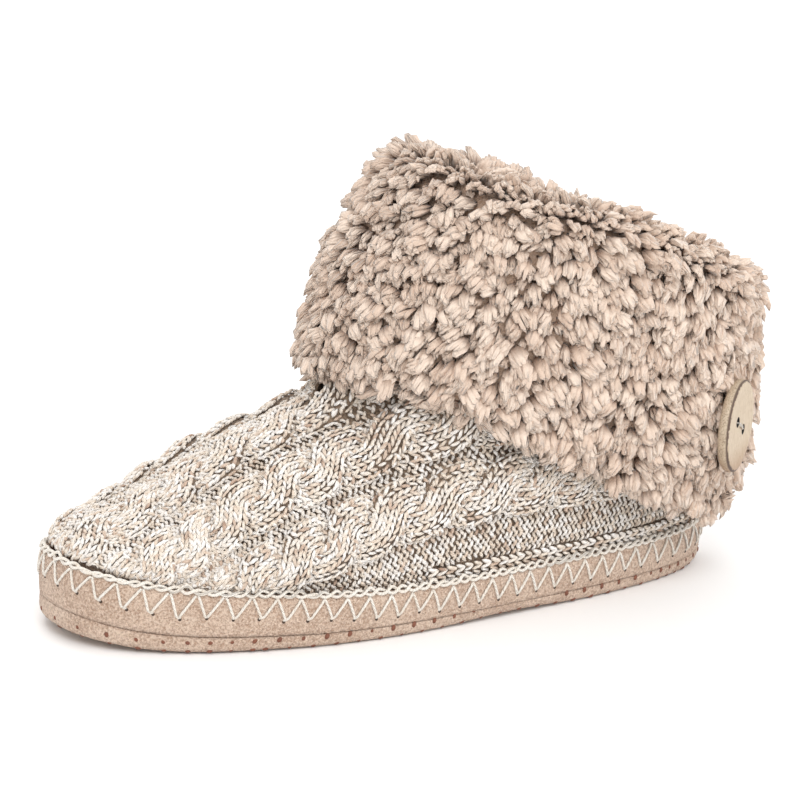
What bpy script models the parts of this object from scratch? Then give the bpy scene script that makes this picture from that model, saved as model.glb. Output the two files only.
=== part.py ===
"""Bootie slipper for the left foot: knitted upper with a folded fur cuff, a wooden button and a soft sole.

Run with Blender 4.5. Metres, +Z up, toe towards +X, outer side of the foot towards +Y.
The origin is on the floor, under the middle of the heel.
"""
import math
import random

import bmesh
import bpy
from mathutils import Matrix, Vector

# Sole sizes
LENGTH = 0.2555
BALL_WIDTH = 0.0936
HEEL_WIDTH = 0.0740
HEEL_CENTRE = 0.0370
SOLE_THICKNESS = 0.0045
TOE_WRAP = 0.0026
TOE_SPRING = 0.0084
HEEL_LIFT = 0.0012
ARCH_RISE = 0.0012
EDGE_ROUND = 0.0030
TOE_INWARD = 0.0040
WAIST = 0.0022

# Band sizes; the profile's columns are the bulge and the depth, as shares of BAND_BULGE and
# BAND_THICKNESS, and the height, as a share of the way from the band's foot to its top
BAND_TOP = 0.0163
TOE_BAND_RISE = 0.0090
BAND_THICKNESS = 0.0034
BAND_BULGE = 0.0005
BAND_PROFILE = (
    (0.0, 0.00, 0.00),
    (1.0, 0.00, 0.35),
    (0.4, 0.00, 0.75),
    (0.0, 0.22, 0.97),
    (0.0, 0.55, 1.00),
    (0.0, 1.00, 0.93),
    (0.0, 1.00, 0.00),
)

# Upper sizes
UPPER_WALL = 0.0030
MARGIN_TUCK = 0.0012
COLLAR_FRONT_HEIGHT = 0.1420
COLLAR_BACK_HEIGHT = 0.0920

# Insole sizes; the profile's columns are the inset from its edge and the height, both as shares
# of INSOLE_THICKNESS
INSOLE_THICKNESS = 0.0050
INSOLE_PROFILE = (
    (0.00, 0.00),
    (0.00, 0.80),
    (0.35, 1.00),
    (2.20, 1.20),
)

# Cuff sizes
CUFF_DROP = 0.0760
CUFF_PILE = 0.0122
CUFF_TUCKED_PILE = 0.0050
CUFF_FLAP_PILE = 0.0084
CUFF_LINING_PILE = 0.0066
CUFF_LINING_DROP = 0.0260
CUFF_ROLL_HEIGHT = 0.0086
CUFF_HEM_TAPER = 0.24
CUFF_FREE_GAP = 0.0006
LOCK_HEIGHT = 0.0034
LOCK_DROOP = 0.0022
LOCK_SCATTER = 0.0011
LOCK_HEIGHT_RANGE = (0.6, 1.15)
LOCK_DROOP_RANGE = (0.3, 1.0)
LOCK_SEED = 11

# Button sizes
BUTTON_DIAMETER = 0.0325
BUTTON_THICKNESS = 0.0044
BUTTON_RIM = 0.0022
BUTTON_DISH = 0.0007
BUTTON_HOLE = 0.0024
BUTTON_HOLE_SPACING = 0.0083
BUTTON_STATION = 128.0
BUTTON_HEIGHT = 0.0620
BUTTON_TURN = 37.0
BUTTON_PRESS = 1.5
BUTTON_REACH = 0.0075
BUTTON_BACK_EDGE = 0.80
BUTTON_LOW_EDGE = 0.97
BUTTON_HIGH_EDGE = 0.975
BUTTON_DISH_EDGE = 1.7

# Fits
CLEARANCE = 0.0003
CUFF_CLEARANCE = 0.0006

# Mesh fineness
MERGE_DISTANCE = 0.00001
HALVINGS = 24
STATIONS = 72
BUTTON_SIDES = 30
HOLE_SIDES = 10
SKIRT_ROWS = 9
BACKING_ROWS = 7
ROLL_TURNS = (36.0, 72.0, 108.0, 144.0)
FLAP_BACK_SHARES = (0.84, 0.68, 0.52, 0.36, 0.20, 0.06)

# Plan shape of the sole: corner power, and where the ball begins to swell, as shares of the length
OUTLINE_POWER = 2.3
BALL_START = 0.48
BALL_BLEND = 0.09
SPRING_START = 0.70
HEEL_LIFT_END = 0.10
BAND_RISE_START = 0.55
BAND_RISE_POWER = 1.5
BAND_SPRING_SHARE = 0.8
ARCH_START = 0.26
ARCH_END = 0.54
WAIST_AT = 0.42
WAIST_SPREAD = 0.13
TOE_INWARD_START = 0.35

# The upper's rings from the band up to the collar.
# front, back: place along the length, as shares of LENGTH.
# front_rise, back_rise: shares of the way from the band's top to the collar's height at that end.
# heel, ball: shares of HEEL_WIDTH and BALL_WIDTH. level: 0 follows the band's top line, 1 a smooth arch.
# arch: how the ring climbs from back to front, 1 is straight. waist: share of WAIST that is left.
RING_COLUMNS = ("front", "front_rise", "back", "back_rise", "heel", "ball", "level", "arch", "waist")
RINGS = (
    (0.986, 0.004, 0.014, 0.008, 0.900, 0.920, 0.00, 2.0, 1.0),
    (0.994, 0.028, 0.005, 0.040, 0.975, 0.980, 0.15, 2.0, 1.0),
    (0.988, 0.062, 0.001, 0.076, 1.000, 0.985, 0.35, 2.0, 1.0),
    (0.968, 0.094, 0.000, 0.110, 1.015, 0.975, 0.55, 2.0, 0.9),
    (0.935, 0.125, 0.000, 0.142, 1.022, 0.957, 0.75, 2.0, 0.8),
    (0.890, 0.159, 0.000, 0.174, 1.026, 0.934, 0.90, 2.0, 0.7),
    (0.840, 0.195, 0.000, 0.212, 1.028, 0.910, 1.00, 2.0, 0.6),
    (0.786, 0.232, 0.000, 0.250, 1.028, 0.887, 1.00, 2.0, 0.5),
    (0.731, 0.268, 0.000, 0.292, 1.028, 0.868, 1.00, 2.0, 0.4),
    (0.677, 0.308, 0.000, 0.338, 1.030, 0.852, 1.00, 2.0, 0.3),
    (0.630, 0.354, 0.000, 0.388, 1.034, 0.845, 1.00, 1.9, 0.2),
    (0.597, 0.424, 0.000, 0.456, 1.042, 0.850, 1.00, 1.7, 0.1),
    (0.579, 0.520, 0.002, 0.545, 1.056, 0.864, 1.00, 1.5, 0.0),
    (0.562, 0.640, 0.004, 0.655, 1.076, 0.880, 1.00, 1.3, 0.0),
    (0.538, 0.772, 0.007, 0.778, 1.100, 0.892, 1.00, 1.15, 0.0),
    (0.506, 0.894, 0.010, 0.894, 1.122, 0.898, 1.00, 1.0, 0.0),
    (0.472, 1.000, 0.013, 1.000, 1.140, 0.900, 1.00, 1.0, 0.0),
)
TOP_RING = len(RINGS) - 1

# The cuff's lower edge, by station angle from the toe round the outer side and on.
# drop: how far it hangs below the collar, as a share of CUFF_DROP.
CUFF_EDGE = (
    (140.0, 0.64),
    (180.0, 0.66),
    (215.0, 0.74),
    (250.0, 0.86),
    (290.0, 0.92),
    (320.0, 0.90),
    (345.0, 0.94),
    (360.0, 1.00),
    (375.0, 0.95),
    (395.0, 0.88),
    (420.0, 0.86),
    (450.0, 0.90),
    (475.0, 0.94),
    (500.0, 0.96),
    (520.0, 0.94),
    (540.0, 0.90),
)
CUFF_START = 145.0
CUFF_END = 535.0
FLAP_LIFT_START = 467.0
FLAP_LIFT_END = 498.0
TUCK_END = 180.0
TUCK_BLEND_END = 205.0
LINING_END = 500.0
LINING_CLOSE_TOP = 0.7
LINING_CLOSE_LOW = 0.4
FLAP_LEAN = 25.0
FLAP_LEAN_START = 480.0
STATION_STEP = 360.0 / STATIONS

COLOURS = {
    "outsole": (0.62, 0.43, 0.33),
    "side_band": (0.66, 0.47, 0.36),
    "upper": (0.60, 0.50, 0.41),
    "insole": (0.66, 0.52, 0.45),
    "cuff": (0.63, 0.48, 0.41),
    "button": (0.42, 0.29, 0.17),
}


def clear_scene():
    for item in list(bpy.data.objects):
        bpy.data.objects.remove(item, do_unlink=True)


def ramp(value, start, end):
    """0 before start, 1 after end, straight between them."""
    return min(max((value - start) / (end - start), 0.0), 1.0)


def smooth_ramp(value, start, end):
    share = ramp(value, start, end)
    return share * share * (3.0 - 2.0 * share)


def curve_through(rows, place):
    """Reads a smooth curve through (place, value) rows."""
    last = len(rows) - 1
    index = 0
    while index < last - 1 and place > rows[index + 1][0]:
        index += 1
    start, end = rows[index], rows[index + 1]
    before = rows[max(index - 1, 0)]
    after = rows[min(index + 2, last)]
    share = ramp(place, start[0], end[0])
    step = end[0] - start[0]
    lean_in = (end[1] - before[1]) / (end[0] - before[0]) * step
    lean_out = (after[1] - start[1]) / (after[0] - start[0]) * step
    square, cube = share * share, share * share * share
    return (
        start[1] * (2 * cube - 3 * square + 1)
        + lean_in * (cube - 2 * square + share)
        + end[1] * (3 * square - 2 * cube)
        + lean_out * (cube - square)
    )


def oval(angle, power):
    """Share along the length and share of the half width, for a station angle in degrees from the toe."""
    along = math.cos(math.radians(angle))
    across = math.sin(math.radians(angle))
    share = 0.5 + 0.5 * math.copysign(abs(along) ** (2.0 / power), along)
    side = math.copysign(abs(across) ** (2.0 / power), across)
    return share, side


def half_width(share, heel, ball):
    swell = 1.0 / (1.0 + math.exp(-(share - BALL_START) / BALL_BLEND))
    return (heel + (ball - heel) * swell) / 2.0


def centre_line(share):
    return -TOE_INWARD * ramp(share, TOE_INWARD_START, 1.0) ** 2


def plan_point(angle, back, front, heel, ball, waist):
    """Point on a plan outline: x from the heel's back end, y from the foot's middle line."""
    share, side = oval(angle, OUTLINE_POWER)
    along = back + (front - back) * share
    place = along / LENGTH
    width = half_width(place, heel, ball)
    if side < 0.0:
        width -= waist * math.exp(-(((place - WAIST_AT) / WAIST_SPREAD) ** 2))
    return along, centre_line(place) + side * width


def sole_point(angle, inset):
    return plan_point(
        angle,
        inset,
        LENGTH - inset,
        HEEL_WIDTH - 2 * inset,
        BALL_WIDTH - 2 * inset,
        WAIST,
    )


def floor_lift(along):
    """Height of the sole's underside from its toe spring and heel lift."""
    share = along / LENGTH
    spring = TOE_SPRING * ramp(share, SPRING_START, 1.0) ** 2
    heel = HEEL_LIFT * ramp(-share, -HEEL_LIFT_END, 0.0) ** 2
    return spring + heel


def arch_lift(along):
    """Rise of the underside between the heel and the ball."""
    return ARCH_RISE * math.sin(math.pi * ramp(along / LENGTH, ARCH_START, ARCH_END)) ** 2


def seam_height(along):
    """Top of the outsole, where the band begins."""
    wrap = TOE_WRAP * ramp(along / LENGTH, BAND_RISE_START, 1.0) ** 2
    return floor_lift(along) + SOLE_THICKNESS + wrap


def band_height(along):
    """Top line of the band."""
    share = along / LENGTH
    rise = TOE_BAND_RISE * ramp(share, BAND_RISE_START, 1.0) ** BAND_RISE_POWER
    return BAND_TOP + BAND_SPRING_SHARE * floor_lift(along) + rise


def ring_at(level):
    """Named values of the upper's ring at any level, read smoothly between the table's rows."""
    values = {}
    for column, name in enumerate(RING_COLUMNS):
        rows = [(float(index), row[column]) for index, row in enumerate(RINGS)]
        values[name] = curve_through(rows, level)
    return values


RING_CACHE = {}


def ring_values(level):
    key = round(level, 4)
    if key not in RING_CACHE:
        RING_CACHE[key] = ring_at(level)
    return RING_CACHE[key]


def upper_point(angle, level):
    """Point on the outside of the upper, from the heel's back end."""
    ring = ring_values(level)
    back, front = ring["back"] * LENGTH, ring["front"] * LENGTH
    along, across = plan_point(
        angle,
        back,
        front,
        ring["heel"] * HEEL_WIDTH,
        ring["ball"] * BALL_WIDTH,
        ring["waist"] * WAIST,
    )
    share = ramp(along, back, front)
    toe_top, heel_top = band_height(LENGTH), band_height(0.0)
    low = heel_top + ring["back_rise"] * (COLLAR_BACK_HEIGHT - heel_top)
    high = toe_top + ring["front_rise"] * (COLLAR_FRONT_HEIGHT - toe_top)
    band_share = (band_height(along) - heel_top) / (toe_top - heel_top)
    climb = (1.0 - ring["level"]) * band_share + ring["level"] * share ** ring["arch"]
    return Vector((along, across, low + (high - low) * climb))


def upper_normal(angle, level):
    """Outward direction of the upper's surface."""
    step_angle, step_level = 1.0, 0.15
    round_step = upper_point(angle + step_angle, level) - upper_point(angle - step_angle, level)
    above = min(level + step_level, TOP_RING)
    below = max(level - step_level, 0.0)
    up_step = upper_point(angle, above) - upper_point(angle, below)
    return round_step.cross(up_step).normalized()


def rim_direction(angle):
    """Direction in which the wall runs on past the collar."""
    step = upper_point(angle, TOP_RING) - upper_point(angle, TOP_RING - 0.5)
    return step.normalized()


def place(point):
    """Moves the origin from the heel's back end to the floor under the middle of the heel."""
    return Vector((point[0] - HEEL_CENTRE, point[1], point[2]))


def skin_rings(mesh, rings, closed):
    """Joins rings of equal length with quads; closed joins the last ring to the first."""
    made = [[mesh.verts.new(place(point)) for point in ring] for ring in rings]
    count = len(made[0])
    pairs = list(zip(made, made[1:]))
    if closed:
        pairs.append((made[-1], made[0]))
    for lower, upper in pairs:
        for index in range(count):
            following = (index + 1) % count
            mesh.faces.new((lower[index], lower[following], upper[following], upper[index]))
    return made


def cap_across(mesh, ring):
    """Closes a ring by strips from one side of the foot to the other."""
    count = len(ring)
    for index in range(count // 2):
        left, right = ring[index], ring[(count - index) % count]
        next_left, next_right = ring[index + 1], ring[count - index - 1]
        corners = [left, next_left, next_right, right]
        unique = list(dict.fromkeys(corners))
        if len(unique) > 2:
            mesh.faces.new(unique)


def finish(name, mesh, smooth_angle):
    """Turns a bmesh into a named object with its own material."""
    bmesh.ops.remove_doubles(mesh, verts=mesh.verts, dist=MERGE_DISTANCE)
    bmesh.ops.recalc_face_normals(mesh, faces=mesh.faces)
    data = bpy.data.meshes.new(name)
    mesh.to_mesh(data)
    mesh.free()
    data.shade_smooth()
    data.set_sharp_from_angle(angle=math.radians(smooth_angle))
    item = bpy.data.objects.new(name, data)
    bpy.context.scene.collection.objects.link(item)
    material = bpy.data.materials.new(name + "_finish")
    material.use_nodes = True
    shader = material.node_tree.nodes["Principled BSDF"]
    shader.inputs["Base Color"].default_value = (*COLOURS[name], 1.0)
    shader.inputs["Roughness"].default_value = 0.55 if name == "button" else 0.95
    shader.inputs["Metallic"].default_value = 0.0
    data.materials.append(material)
    return item


def angles():
    return [index * STATION_STEP for index in range(STATIONS)]


def sole_ring(inset, height):
    """Ring of the sole's outline, with its height read from a function of the place along the foot."""
    ring = []
    for angle in angles():
        along, across = sole_point(angle, inset)
        ring.append(Vector((along, across, height(along))))
    return ring


def build_outsole():
    """Thin slab with a rounded lower edge, toe spring and a slight arch."""
    mesh = bmesh.new()

    def edge_height(turn):
        share = 1.0 - math.cos(turn)
        return lambda along: floor_lift(along) + arch_lift(along) + EDGE_ROUND * share

    rings = []
    for turn in (0.0, math.pi / 6, math.pi / 3, math.pi / 2):
        inset = EDGE_ROUND * (1.0 - math.sin(turn))
        rings.append(sole_ring(inset, edge_height(turn)))
    rings.append(sole_ring(0.0, seam_height))
    made = skin_rings(mesh, rings, False)
    cap_across(mesh, made[0])
    cap_across(mesh, made[-1])
    return finish("outsole", mesh, 40)


def build_band():
    """Upright band round the outsole's edge, slightly bulged, with a softened top edge."""
    mesh = bmesh.new()

    def between(share):
        def height(along):
            low = seam_height(along) + CLEARANCE
            return low + (band_height(along) - low) * share
        return height

    rings = []
    for bulge, depth, share in BAND_PROFILE:
        rings.append(sole_ring(depth * BAND_THICKNESS - bulge * BAND_BULGE, between(share)))
    skin_rings(mesh, rings, True)
    return finish("side_band", mesh, 40)


def margin_ring(inset, height):
    return sole_ring(BAND_THICKNESS + CLEARANCE + inset, height)


def upper_seat(along):
    return seam_height(along) + CLEARANCE


def margin_top(along):
    return band_height(along) - MARGIN_TUCK


def build_upper():
    """Hollow upper: the outside follows the rings, the inside lies one wall further in."""
    mesh = bmesh.new()
    outside = [margin_ring(0.0, upper_seat), margin_ring(0.0, margin_top)]
    inside = [margin_ring(UPPER_WALL, upper_seat), margin_ring(UPPER_WALL, margin_top)]
    for level in range(TOP_RING + 1):
        outside.append([upper_point(angle, level) for angle in angles()])
    for level in range(1, TOP_RING + 1):
        if level % 2 and 3 < level < TOP_RING - 3:
            continue
        ring = []
        for angle in angles():
            ring.append(upper_point(angle, level) - UPPER_WALL * upper_normal(angle, level))
        inside.append(ring)
    skin_rings(mesh, outside + inside[::-1], True)
    return finish("upper", mesh, 50)


def build_insole():
    """Padded footbed inside the upper's lower margin, crowned a little along its middle."""
    mesh = bmesh.new()
    edge = BAND_THICKNESS + CLEARANCE + UPPER_WALL + CLEARANCE

    def bed_height(share):
        return lambda along: upper_seat(along) + INSOLE_THICKNESS * share

    rings = []
    for inset, share in INSOLE_PROFILE:
        rings.append(sole_ring(edge + INSOLE_THICKNESS * inset, bed_height(share)))
    made = skin_rings(mesh, rings, False)
    cap_across(mesh, made[0])
    cap_across(mesh, made[-1])
    return finish("insole", mesh, 40)


def level_below_rim(angle, drop):
    """Level of the ring that lies the given length below the collar, measured down the surface."""
    step = 0.1
    level = float(TOP_RING)
    gone = 0.0
    point = upper_point(angle, level)
    while level > step:
        following = upper_point(angle, level - step)
        length = (following - point).length
        if gone + length >= drop:
            return level - step * (drop - gone) / length
        gone += length
        level -= step
        point = following
    return level


def skirt_angle(station, depth):
    """Station angle on the skirt; the flap's free edge leans forward towards its lower corner."""
    lean = smooth_ramp(station, FLAP_LEAN_START, CUFF_END)
    return station - FLAP_LEAN * lean * depth


def cuff_inner_offset(station):
    """Gap between the skirt's back and the upper; the flap lies over the tucked end."""
    lift = CUFF_TUCKED_PILE + CUFF_FREE_GAP
    return CUFF_CLEARANCE + lift * smooth_ramp(station, FLAP_LIFT_START, FLAP_LIFT_END)


def cuff_outer_offset(station, depth):
    """Pile height over the upper: thin where the end is tucked in, full elsewhere, softer at the hem."""
    tucked = 1.0 - smooth_ramp(station, TUCK_END, TUCK_BLEND_END)
    flap = smooth_ramp(station, FLAP_LIFT_START, FLAP_LIFT_END)
    pile = CUFF_PILE + (CUFF_FLAP_PILE - CUFF_PILE) * flap
    pile += (CUFF_TUCKED_PILE - CUFF_PILE) * tucked
    belly = 1.0 - CUFF_HEM_TAPER * depth ** 2
    return cuff_inner_offset(station) + pile * (belly if tucked == 0.0 else 1.0)


def cuff_section(station):
    """The cuff's closed section at a station: skirt, roll, lining, and down the skirt's inside."""
    drop = CUFF_DROP * curve_through(CUFF_EDGE, station)
    outer, inner = [], []
    for row in range(SKIRT_ROWS + 1):
        depth = 1.0 - row / SKIRT_ROWS
        angle = skirt_angle(station, depth)
        level = level_below_rim(angle, drop * depth)
        normal = upper_normal(angle, level)
        outer.append(upper_point(angle, level) + cuff_outer_offset(station, depth) * normal)
    for row in range(BACKING_ROWS + 1):
        depth = row / BACKING_ROWS
        angle = skirt_angle(station, depth)
        level = level_below_rim(angle, drop * depth)
        normal = upper_normal(angle, level)
        inner.append(upper_point(angle, level) + cuff_inner_offset(station) * normal)
    angle = skirt_angle(station, 0.0)
    rim = upper_point(angle, TOP_RING)
    normal = upper_normal(angle, TOP_RING)
    up = rim_direction(angle)
    outer_reach = cuff_outer_offset(station, 0.0)
    if station <= LINING_END:
        inner_reach = UPPER_WALL + CUFF_CLEARANCE + CUFF_LINING_PILE
        middle = (outer_reach - inner_reach) / 2.0
        radius = (outer_reach + inner_reach) / 2.0
        roll = []
        for turn in ROLL_TURNS:
            across = middle + radius * math.cos(math.radians(turn))
            above = CUFF_ROLL_HEIGHT * math.sin(math.radians(turn))
            roll.append(rim + across * normal + above * up)
        wall_side = rim - (UPPER_WALL + CUFF_CLEARANCE) * normal + CUFF_CLEARANCE * up
        skirt_side = rim + cuff_inner_offset(station) * normal + CUFF_CLEARANCE * up
        return outer + roll + lining_points(angle, station) + [wall_side, skirt_side] + inner
    base = cuff_inner_offset(station)
    top = CUFF_ROLL_HEIGHT + CUFF_FREE_GAP
    roll = []
    for turn in ROLL_TURNS:
        quarter = math.radians(turn * 90.0 / ROLL_TURNS[-1])
        across = base + (outer_reach - base) * math.cos(quarter)
        roll.append(rim + across * normal + top * math.sin(quarter) * up)
    closing = [rim + base * normal + top * share * up for share in FLAP_BACK_SHARES]
    return outer + roll + closing + inner


def lining_points(angle, station):
    """Down the fur face inside the collar and up against the wall; above the rim at the flap."""
    remaining = 1.0 - ramp(station, LINING_END - 2 * STATION_STEP, LINING_END)
    wall_reach = UPPER_WALL + CUFF_CLEARANCE
    rim = upper_point(angle, TOP_RING)
    up = rim_direction(angle)
    outward, against = [], []
    for share in (0.0, 1.0):
        level = level_below_rim(angle, CUFF_LINING_DROP * share * remaining)
        normal = upper_normal(angle, level)
        point = upper_point(angle, level)
        if remaining == 0.0:
            height = LINING_CLOSE_TOP + (LINING_CLOSE_LOW - LINING_CLOSE_TOP) * share
            point = rim + CUFF_ROLL_HEIGHT * height * up
        outward.append(point - (wall_reach + CUFF_LINING_PILE) * normal)
        against.append(point - wall_reach * normal)
    return outward + against[::-1]


def build_cuff(frame):
    """The folded fur collar: one band whose flap laps over its tucked end, with locks on it."""
    scatter = random.Random(LOCK_SEED)
    mesh = bmesh.new()
    count = int(round((CUFF_END - CUFF_START) / STATION_STEP))
    stations = [CUFF_START + index * STATION_STEP for index in range(count + 1)]
    sections = []
    for station in stations:
        points = cuff_section(station)
        sections.append([mesh.verts.new(place(point)) for point in points])
    size = len(sections[0])
    pile_columns = SKIRT_ROWS + len(ROLL_TURNS) + 2
    pile = []
    for station, first, second in zip(stations, sections, sections[1:]):
        for row in range(size):
            following = (row + 1) % size
            face = mesh.faces.new((first[row], first[following], second[following], second[row]))
            if row < pile_columns and station >= TUCK_END:
                pile.append(face)
    mesh.faces.new(sections[0])
    mesh.faces.new(sections[-1][::-1])
    mesh.normal_update()
    raise_locks(mesh, pile, scatter)
    seat_button(mesh, frame)
    return finish("cuff", mesh, 20)


def raise_locks(mesh, faces, scatter):
    """Each cell of the fur side becomes one lock: its middle stands out and droops."""
    for face in faces:
        middle = face.calc_center_median()
        normal = face.normal.copy()
        corners = list(face.verts)
        side = (corners[0].co - corners[3].co).normalized()
        height = LOCK_HEIGHT * scatter.uniform(*LOCK_HEIGHT_RANGE)
        droop = LOCK_DROOP * scatter.uniform(*LOCK_DROOP_RANGE)
        tip = middle + normal * height + Vector((0.0, 0.0, -1.0)) * droop
        tip += side * LOCK_SCATTER * scatter.uniform(-1.0, 1.0)
        mesh.faces.remove(face)
        top = mesh.verts.new(tip)
        for index in range(4):
            mesh.faces.new((corners[index], corners[(index + 1) % 4], top))


def seat_button(mesh, frame):
    """Presses the pile flat under the button, one clearance below its back."""
    inverse = frame.inverted()
    radius = BUTTON_DIAMETER / 2.0
    for vert in mesh.verts:
        local = inverse @ vert.co
        reach = math.hypot(local.x, local.y)
        if reach > radius * BUTTON_PRESS or abs(local.z) > BUTTON_REACH:
            continue
        if reach > radius and local.z < -CLEARANCE:
            continue
        local.z = -CLEARANCE
        vert.co = frame @ local


def button_frame():
    """Where the button's back face sits, with local +Z pointing out of the cuff."""
    low, high = 0.0, float(TOP_RING)
    for _ in range(HALVINGS):
        level = (low + high) / 2.0
        if upper_point(BUTTON_STATION, level).z < BUTTON_HEIGHT:
            low = level
        else:
            high = level
    station = BUTTON_STATION + 360.0
    point = upper_point(BUTTON_STATION, level)
    normal = upper_normal(BUTTON_STATION, level)
    centre = place(point + cuff_outer_offset(station, 0.5) * normal)
    turn = math.radians(BUTTON_TURN)
    out = Vector((-math.sin(turn), math.cos(turn), 0.0))
    up = Vector((0.0, 0.0, 1.0))
    side = up.cross(out)
    rotation = Matrix((side, up, out)).transposed().to_4x4()
    return Matrix.Translation(centre) @ rotation


def button_blank():
    """Turned disc with a raised rim and a slightly domed back edge, in its own frame."""
    radius = BUTTON_DIAMETER / 2.0
    mesh = bmesh.new()
    profile = (
        (radius * BUTTON_BACK_EDGE, 0.0),
        (radius * BUTTON_LOW_EDGE, BUTTON_THICKNESS * 0.25),
        (radius, BUTTON_THICKNESS * 0.50),
        (radius * BUTTON_HIGH_EDGE, BUTTON_THICKNESS * 0.84),
        (radius - BUTTON_RIM * 0.5, BUTTON_THICKNESS),
        (radius - BUTTON_RIM, BUTTON_THICKNESS - BUTTON_DISH * 0.5),
        (radius - BUTTON_RIM * BUTTON_DISH_EDGE, BUTTON_THICKNESS - BUTTON_DISH),
    )
    rings = []
    for reach, height in profile:
        ring = []
        for index in range(BUTTON_SIDES):
            turn = 2.0 * math.pi * index / BUTTON_SIDES
            ring.append(mesh.verts.new((reach * math.cos(turn), reach * math.sin(turn), height)))
        rings.append(ring)
    for lower, upper in zip(rings, rings[1:]):
        for index in range(BUTTON_SIDES):
            following = (index + 1) % BUTTON_SIDES
            mesh.faces.new((lower[index], lower[following], upper[following], upper[index]))
    mesh.faces.new(rings[0][::-1])
    mesh.faces.new(rings[-1])
    return mesh


def build_button(frame):
    """Two-hole wooden button that presses the flap down."""
    item = finish("button", button_blank(), 35)
    item.matrix_world = frame
    for index, side in enumerate((-1.0, 1.0)):
        cutter_mesh = bmesh.new()
        bmesh.ops.create_cone(
            cutter_mesh,
            cap_ends=True,
            segments=HOLE_SIDES,
            radius1=BUTTON_HOLE / 2.0,
            radius2=BUTTON_HOLE / 2.0,
            depth=BUTTON_THICKNESS * 3.0,
        )
        data = bpy.data.meshes.new("hole_cutter_%d" % index)
        cutter_mesh.to_mesh(data)
        cutter_mesh.free()
        cutter = bpy.data.objects.new("hole_cutter_%d" % index, data)
        bpy.context.scene.collection.objects.link(cutter)
        offset = Vector((side * BUTTON_HOLE_SPACING / 2.0, 0.0, BUTTON_THICKNESS / 2.0))
        cutter.matrix_world = frame @ Matrix.Translation(offset)
        cutter.hide_render = True
        cutter.display_type = "WIRE"
        cut = item.modifiers.new("hole_%d" % index, "BOOLEAN")
        cut.operation = "DIFFERENCE"
        cut.solver = "EXACT"
        cut.object = cutter
    return item


clear_scene()
FRAME = button_frame()
build_outsole()
build_band()
build_upper()
build_insole()
build_cuff(FRAME)
build_button(FRAME)
bpy.context.view_layer.update()
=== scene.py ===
import random
from contextlib import contextmanager
from math import cos, pi, radians, sin, sqrt

import bmesh
import bpy
import numpy as np
from mathutils import Matrix, Vector, noise
from mathutils.bvhtree import BVHTree


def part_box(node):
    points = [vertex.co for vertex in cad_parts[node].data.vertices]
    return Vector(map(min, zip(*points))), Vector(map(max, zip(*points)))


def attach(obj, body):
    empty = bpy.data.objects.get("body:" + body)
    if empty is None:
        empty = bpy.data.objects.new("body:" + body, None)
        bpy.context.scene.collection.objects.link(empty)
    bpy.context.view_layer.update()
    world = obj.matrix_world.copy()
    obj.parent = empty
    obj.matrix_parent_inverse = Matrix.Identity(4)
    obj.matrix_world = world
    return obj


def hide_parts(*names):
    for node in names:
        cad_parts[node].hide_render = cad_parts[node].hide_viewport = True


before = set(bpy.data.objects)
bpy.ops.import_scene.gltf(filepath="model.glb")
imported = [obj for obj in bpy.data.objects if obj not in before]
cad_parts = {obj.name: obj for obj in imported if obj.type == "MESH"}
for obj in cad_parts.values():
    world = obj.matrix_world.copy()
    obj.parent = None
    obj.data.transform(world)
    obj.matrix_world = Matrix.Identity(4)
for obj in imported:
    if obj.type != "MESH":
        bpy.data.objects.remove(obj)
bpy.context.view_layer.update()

scene = bpy.context.scene

# The view: one slipper on a white table top, seen from its outer side and a little above,
# with its toe to the left. The camera stands where the photograph's did, turned to this shoe.
AIM = Vector((0.151, 0.0, 0.1011))
VIEW_TURN, VIEW_RISE, VIEW_ROLL = radians(30), radians(14), radians(2.7)
VIEW_DISTANCE = 1.1352
PAN = Vector((114, -60)) / 2600
LENS, SENSOR = 156.0, 36.0
back = Vector((sin(VIEW_TURN) * cos(VIEW_RISE), cos(VIEW_TURN) * cos(VIEW_RISE), sin(VIEW_RISE)))
side = (-back).cross(Vector((0, 0, 1))).normalized()
top = side.cross(-back)
rolled_side = cos(VIEW_ROLL) * side + sin(VIEW_ROLL) * top
rolled_top = cos(VIEW_ROLL) * top - sin(VIEW_ROLL) * side
gaze = (rolled_side * PAN.x + rolled_top * PAN.y - back).normalized()
rolled_top = (rolled_top - gaze * rolled_top.dot(gaze)).normalized()
camera = bpy.data.objects.new("camera", bpy.data.cameras.new("camera"))
camera.data.lens, camera.data.sensor_width = LENS, SENSOR
camera.matrix_world = Matrix.LocRotScale(
    AIM + VIEW_DISTANCE * back,
    Matrix((gaze.cross(rolled_top), rolled_top, -gaze)).transposed().to_quaternion(), None)
scene.collection.objects.link(camera)
scene.camera = camera


def add_node(tree, kind, inputs=None, **settings):
    """One node of a material or a geometry tree, with its inputs set or linked by name."""
    made = tree.nodes.new(kind)
    for name, value in settings.items():
        setattr(made, name, value)
    for name, value in (inputs or {}).items():
        if isinstance(value, bpy.types.NodeSocket):
            tree.links.new(value, made.inputs[name])
        else:
            made.inputs[name].default_value = value
    return made


def plain_mesh(name, points, faces, edges=()):
    """A mesh from its points and its faces or edges."""
    mesh = bpy.data.meshes.new(name)
    mesh.from_pydata(points, edges, faces)
    return mesh


def new_piece(name, data):
    """An object for a mesh or a lamp, set in the scene."""
    made = bpy.data.objects.new(name, data)
    scene.collection.objects.link(made)
    return made


def new_material(name):
    """A material, its tree of nodes and its surface shader."""
    made = bpy.data.materials.new(name)
    made.use_nodes = True
    return made, made.node_tree, made.node_tree.nodes["Principled BSDF"]


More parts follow.
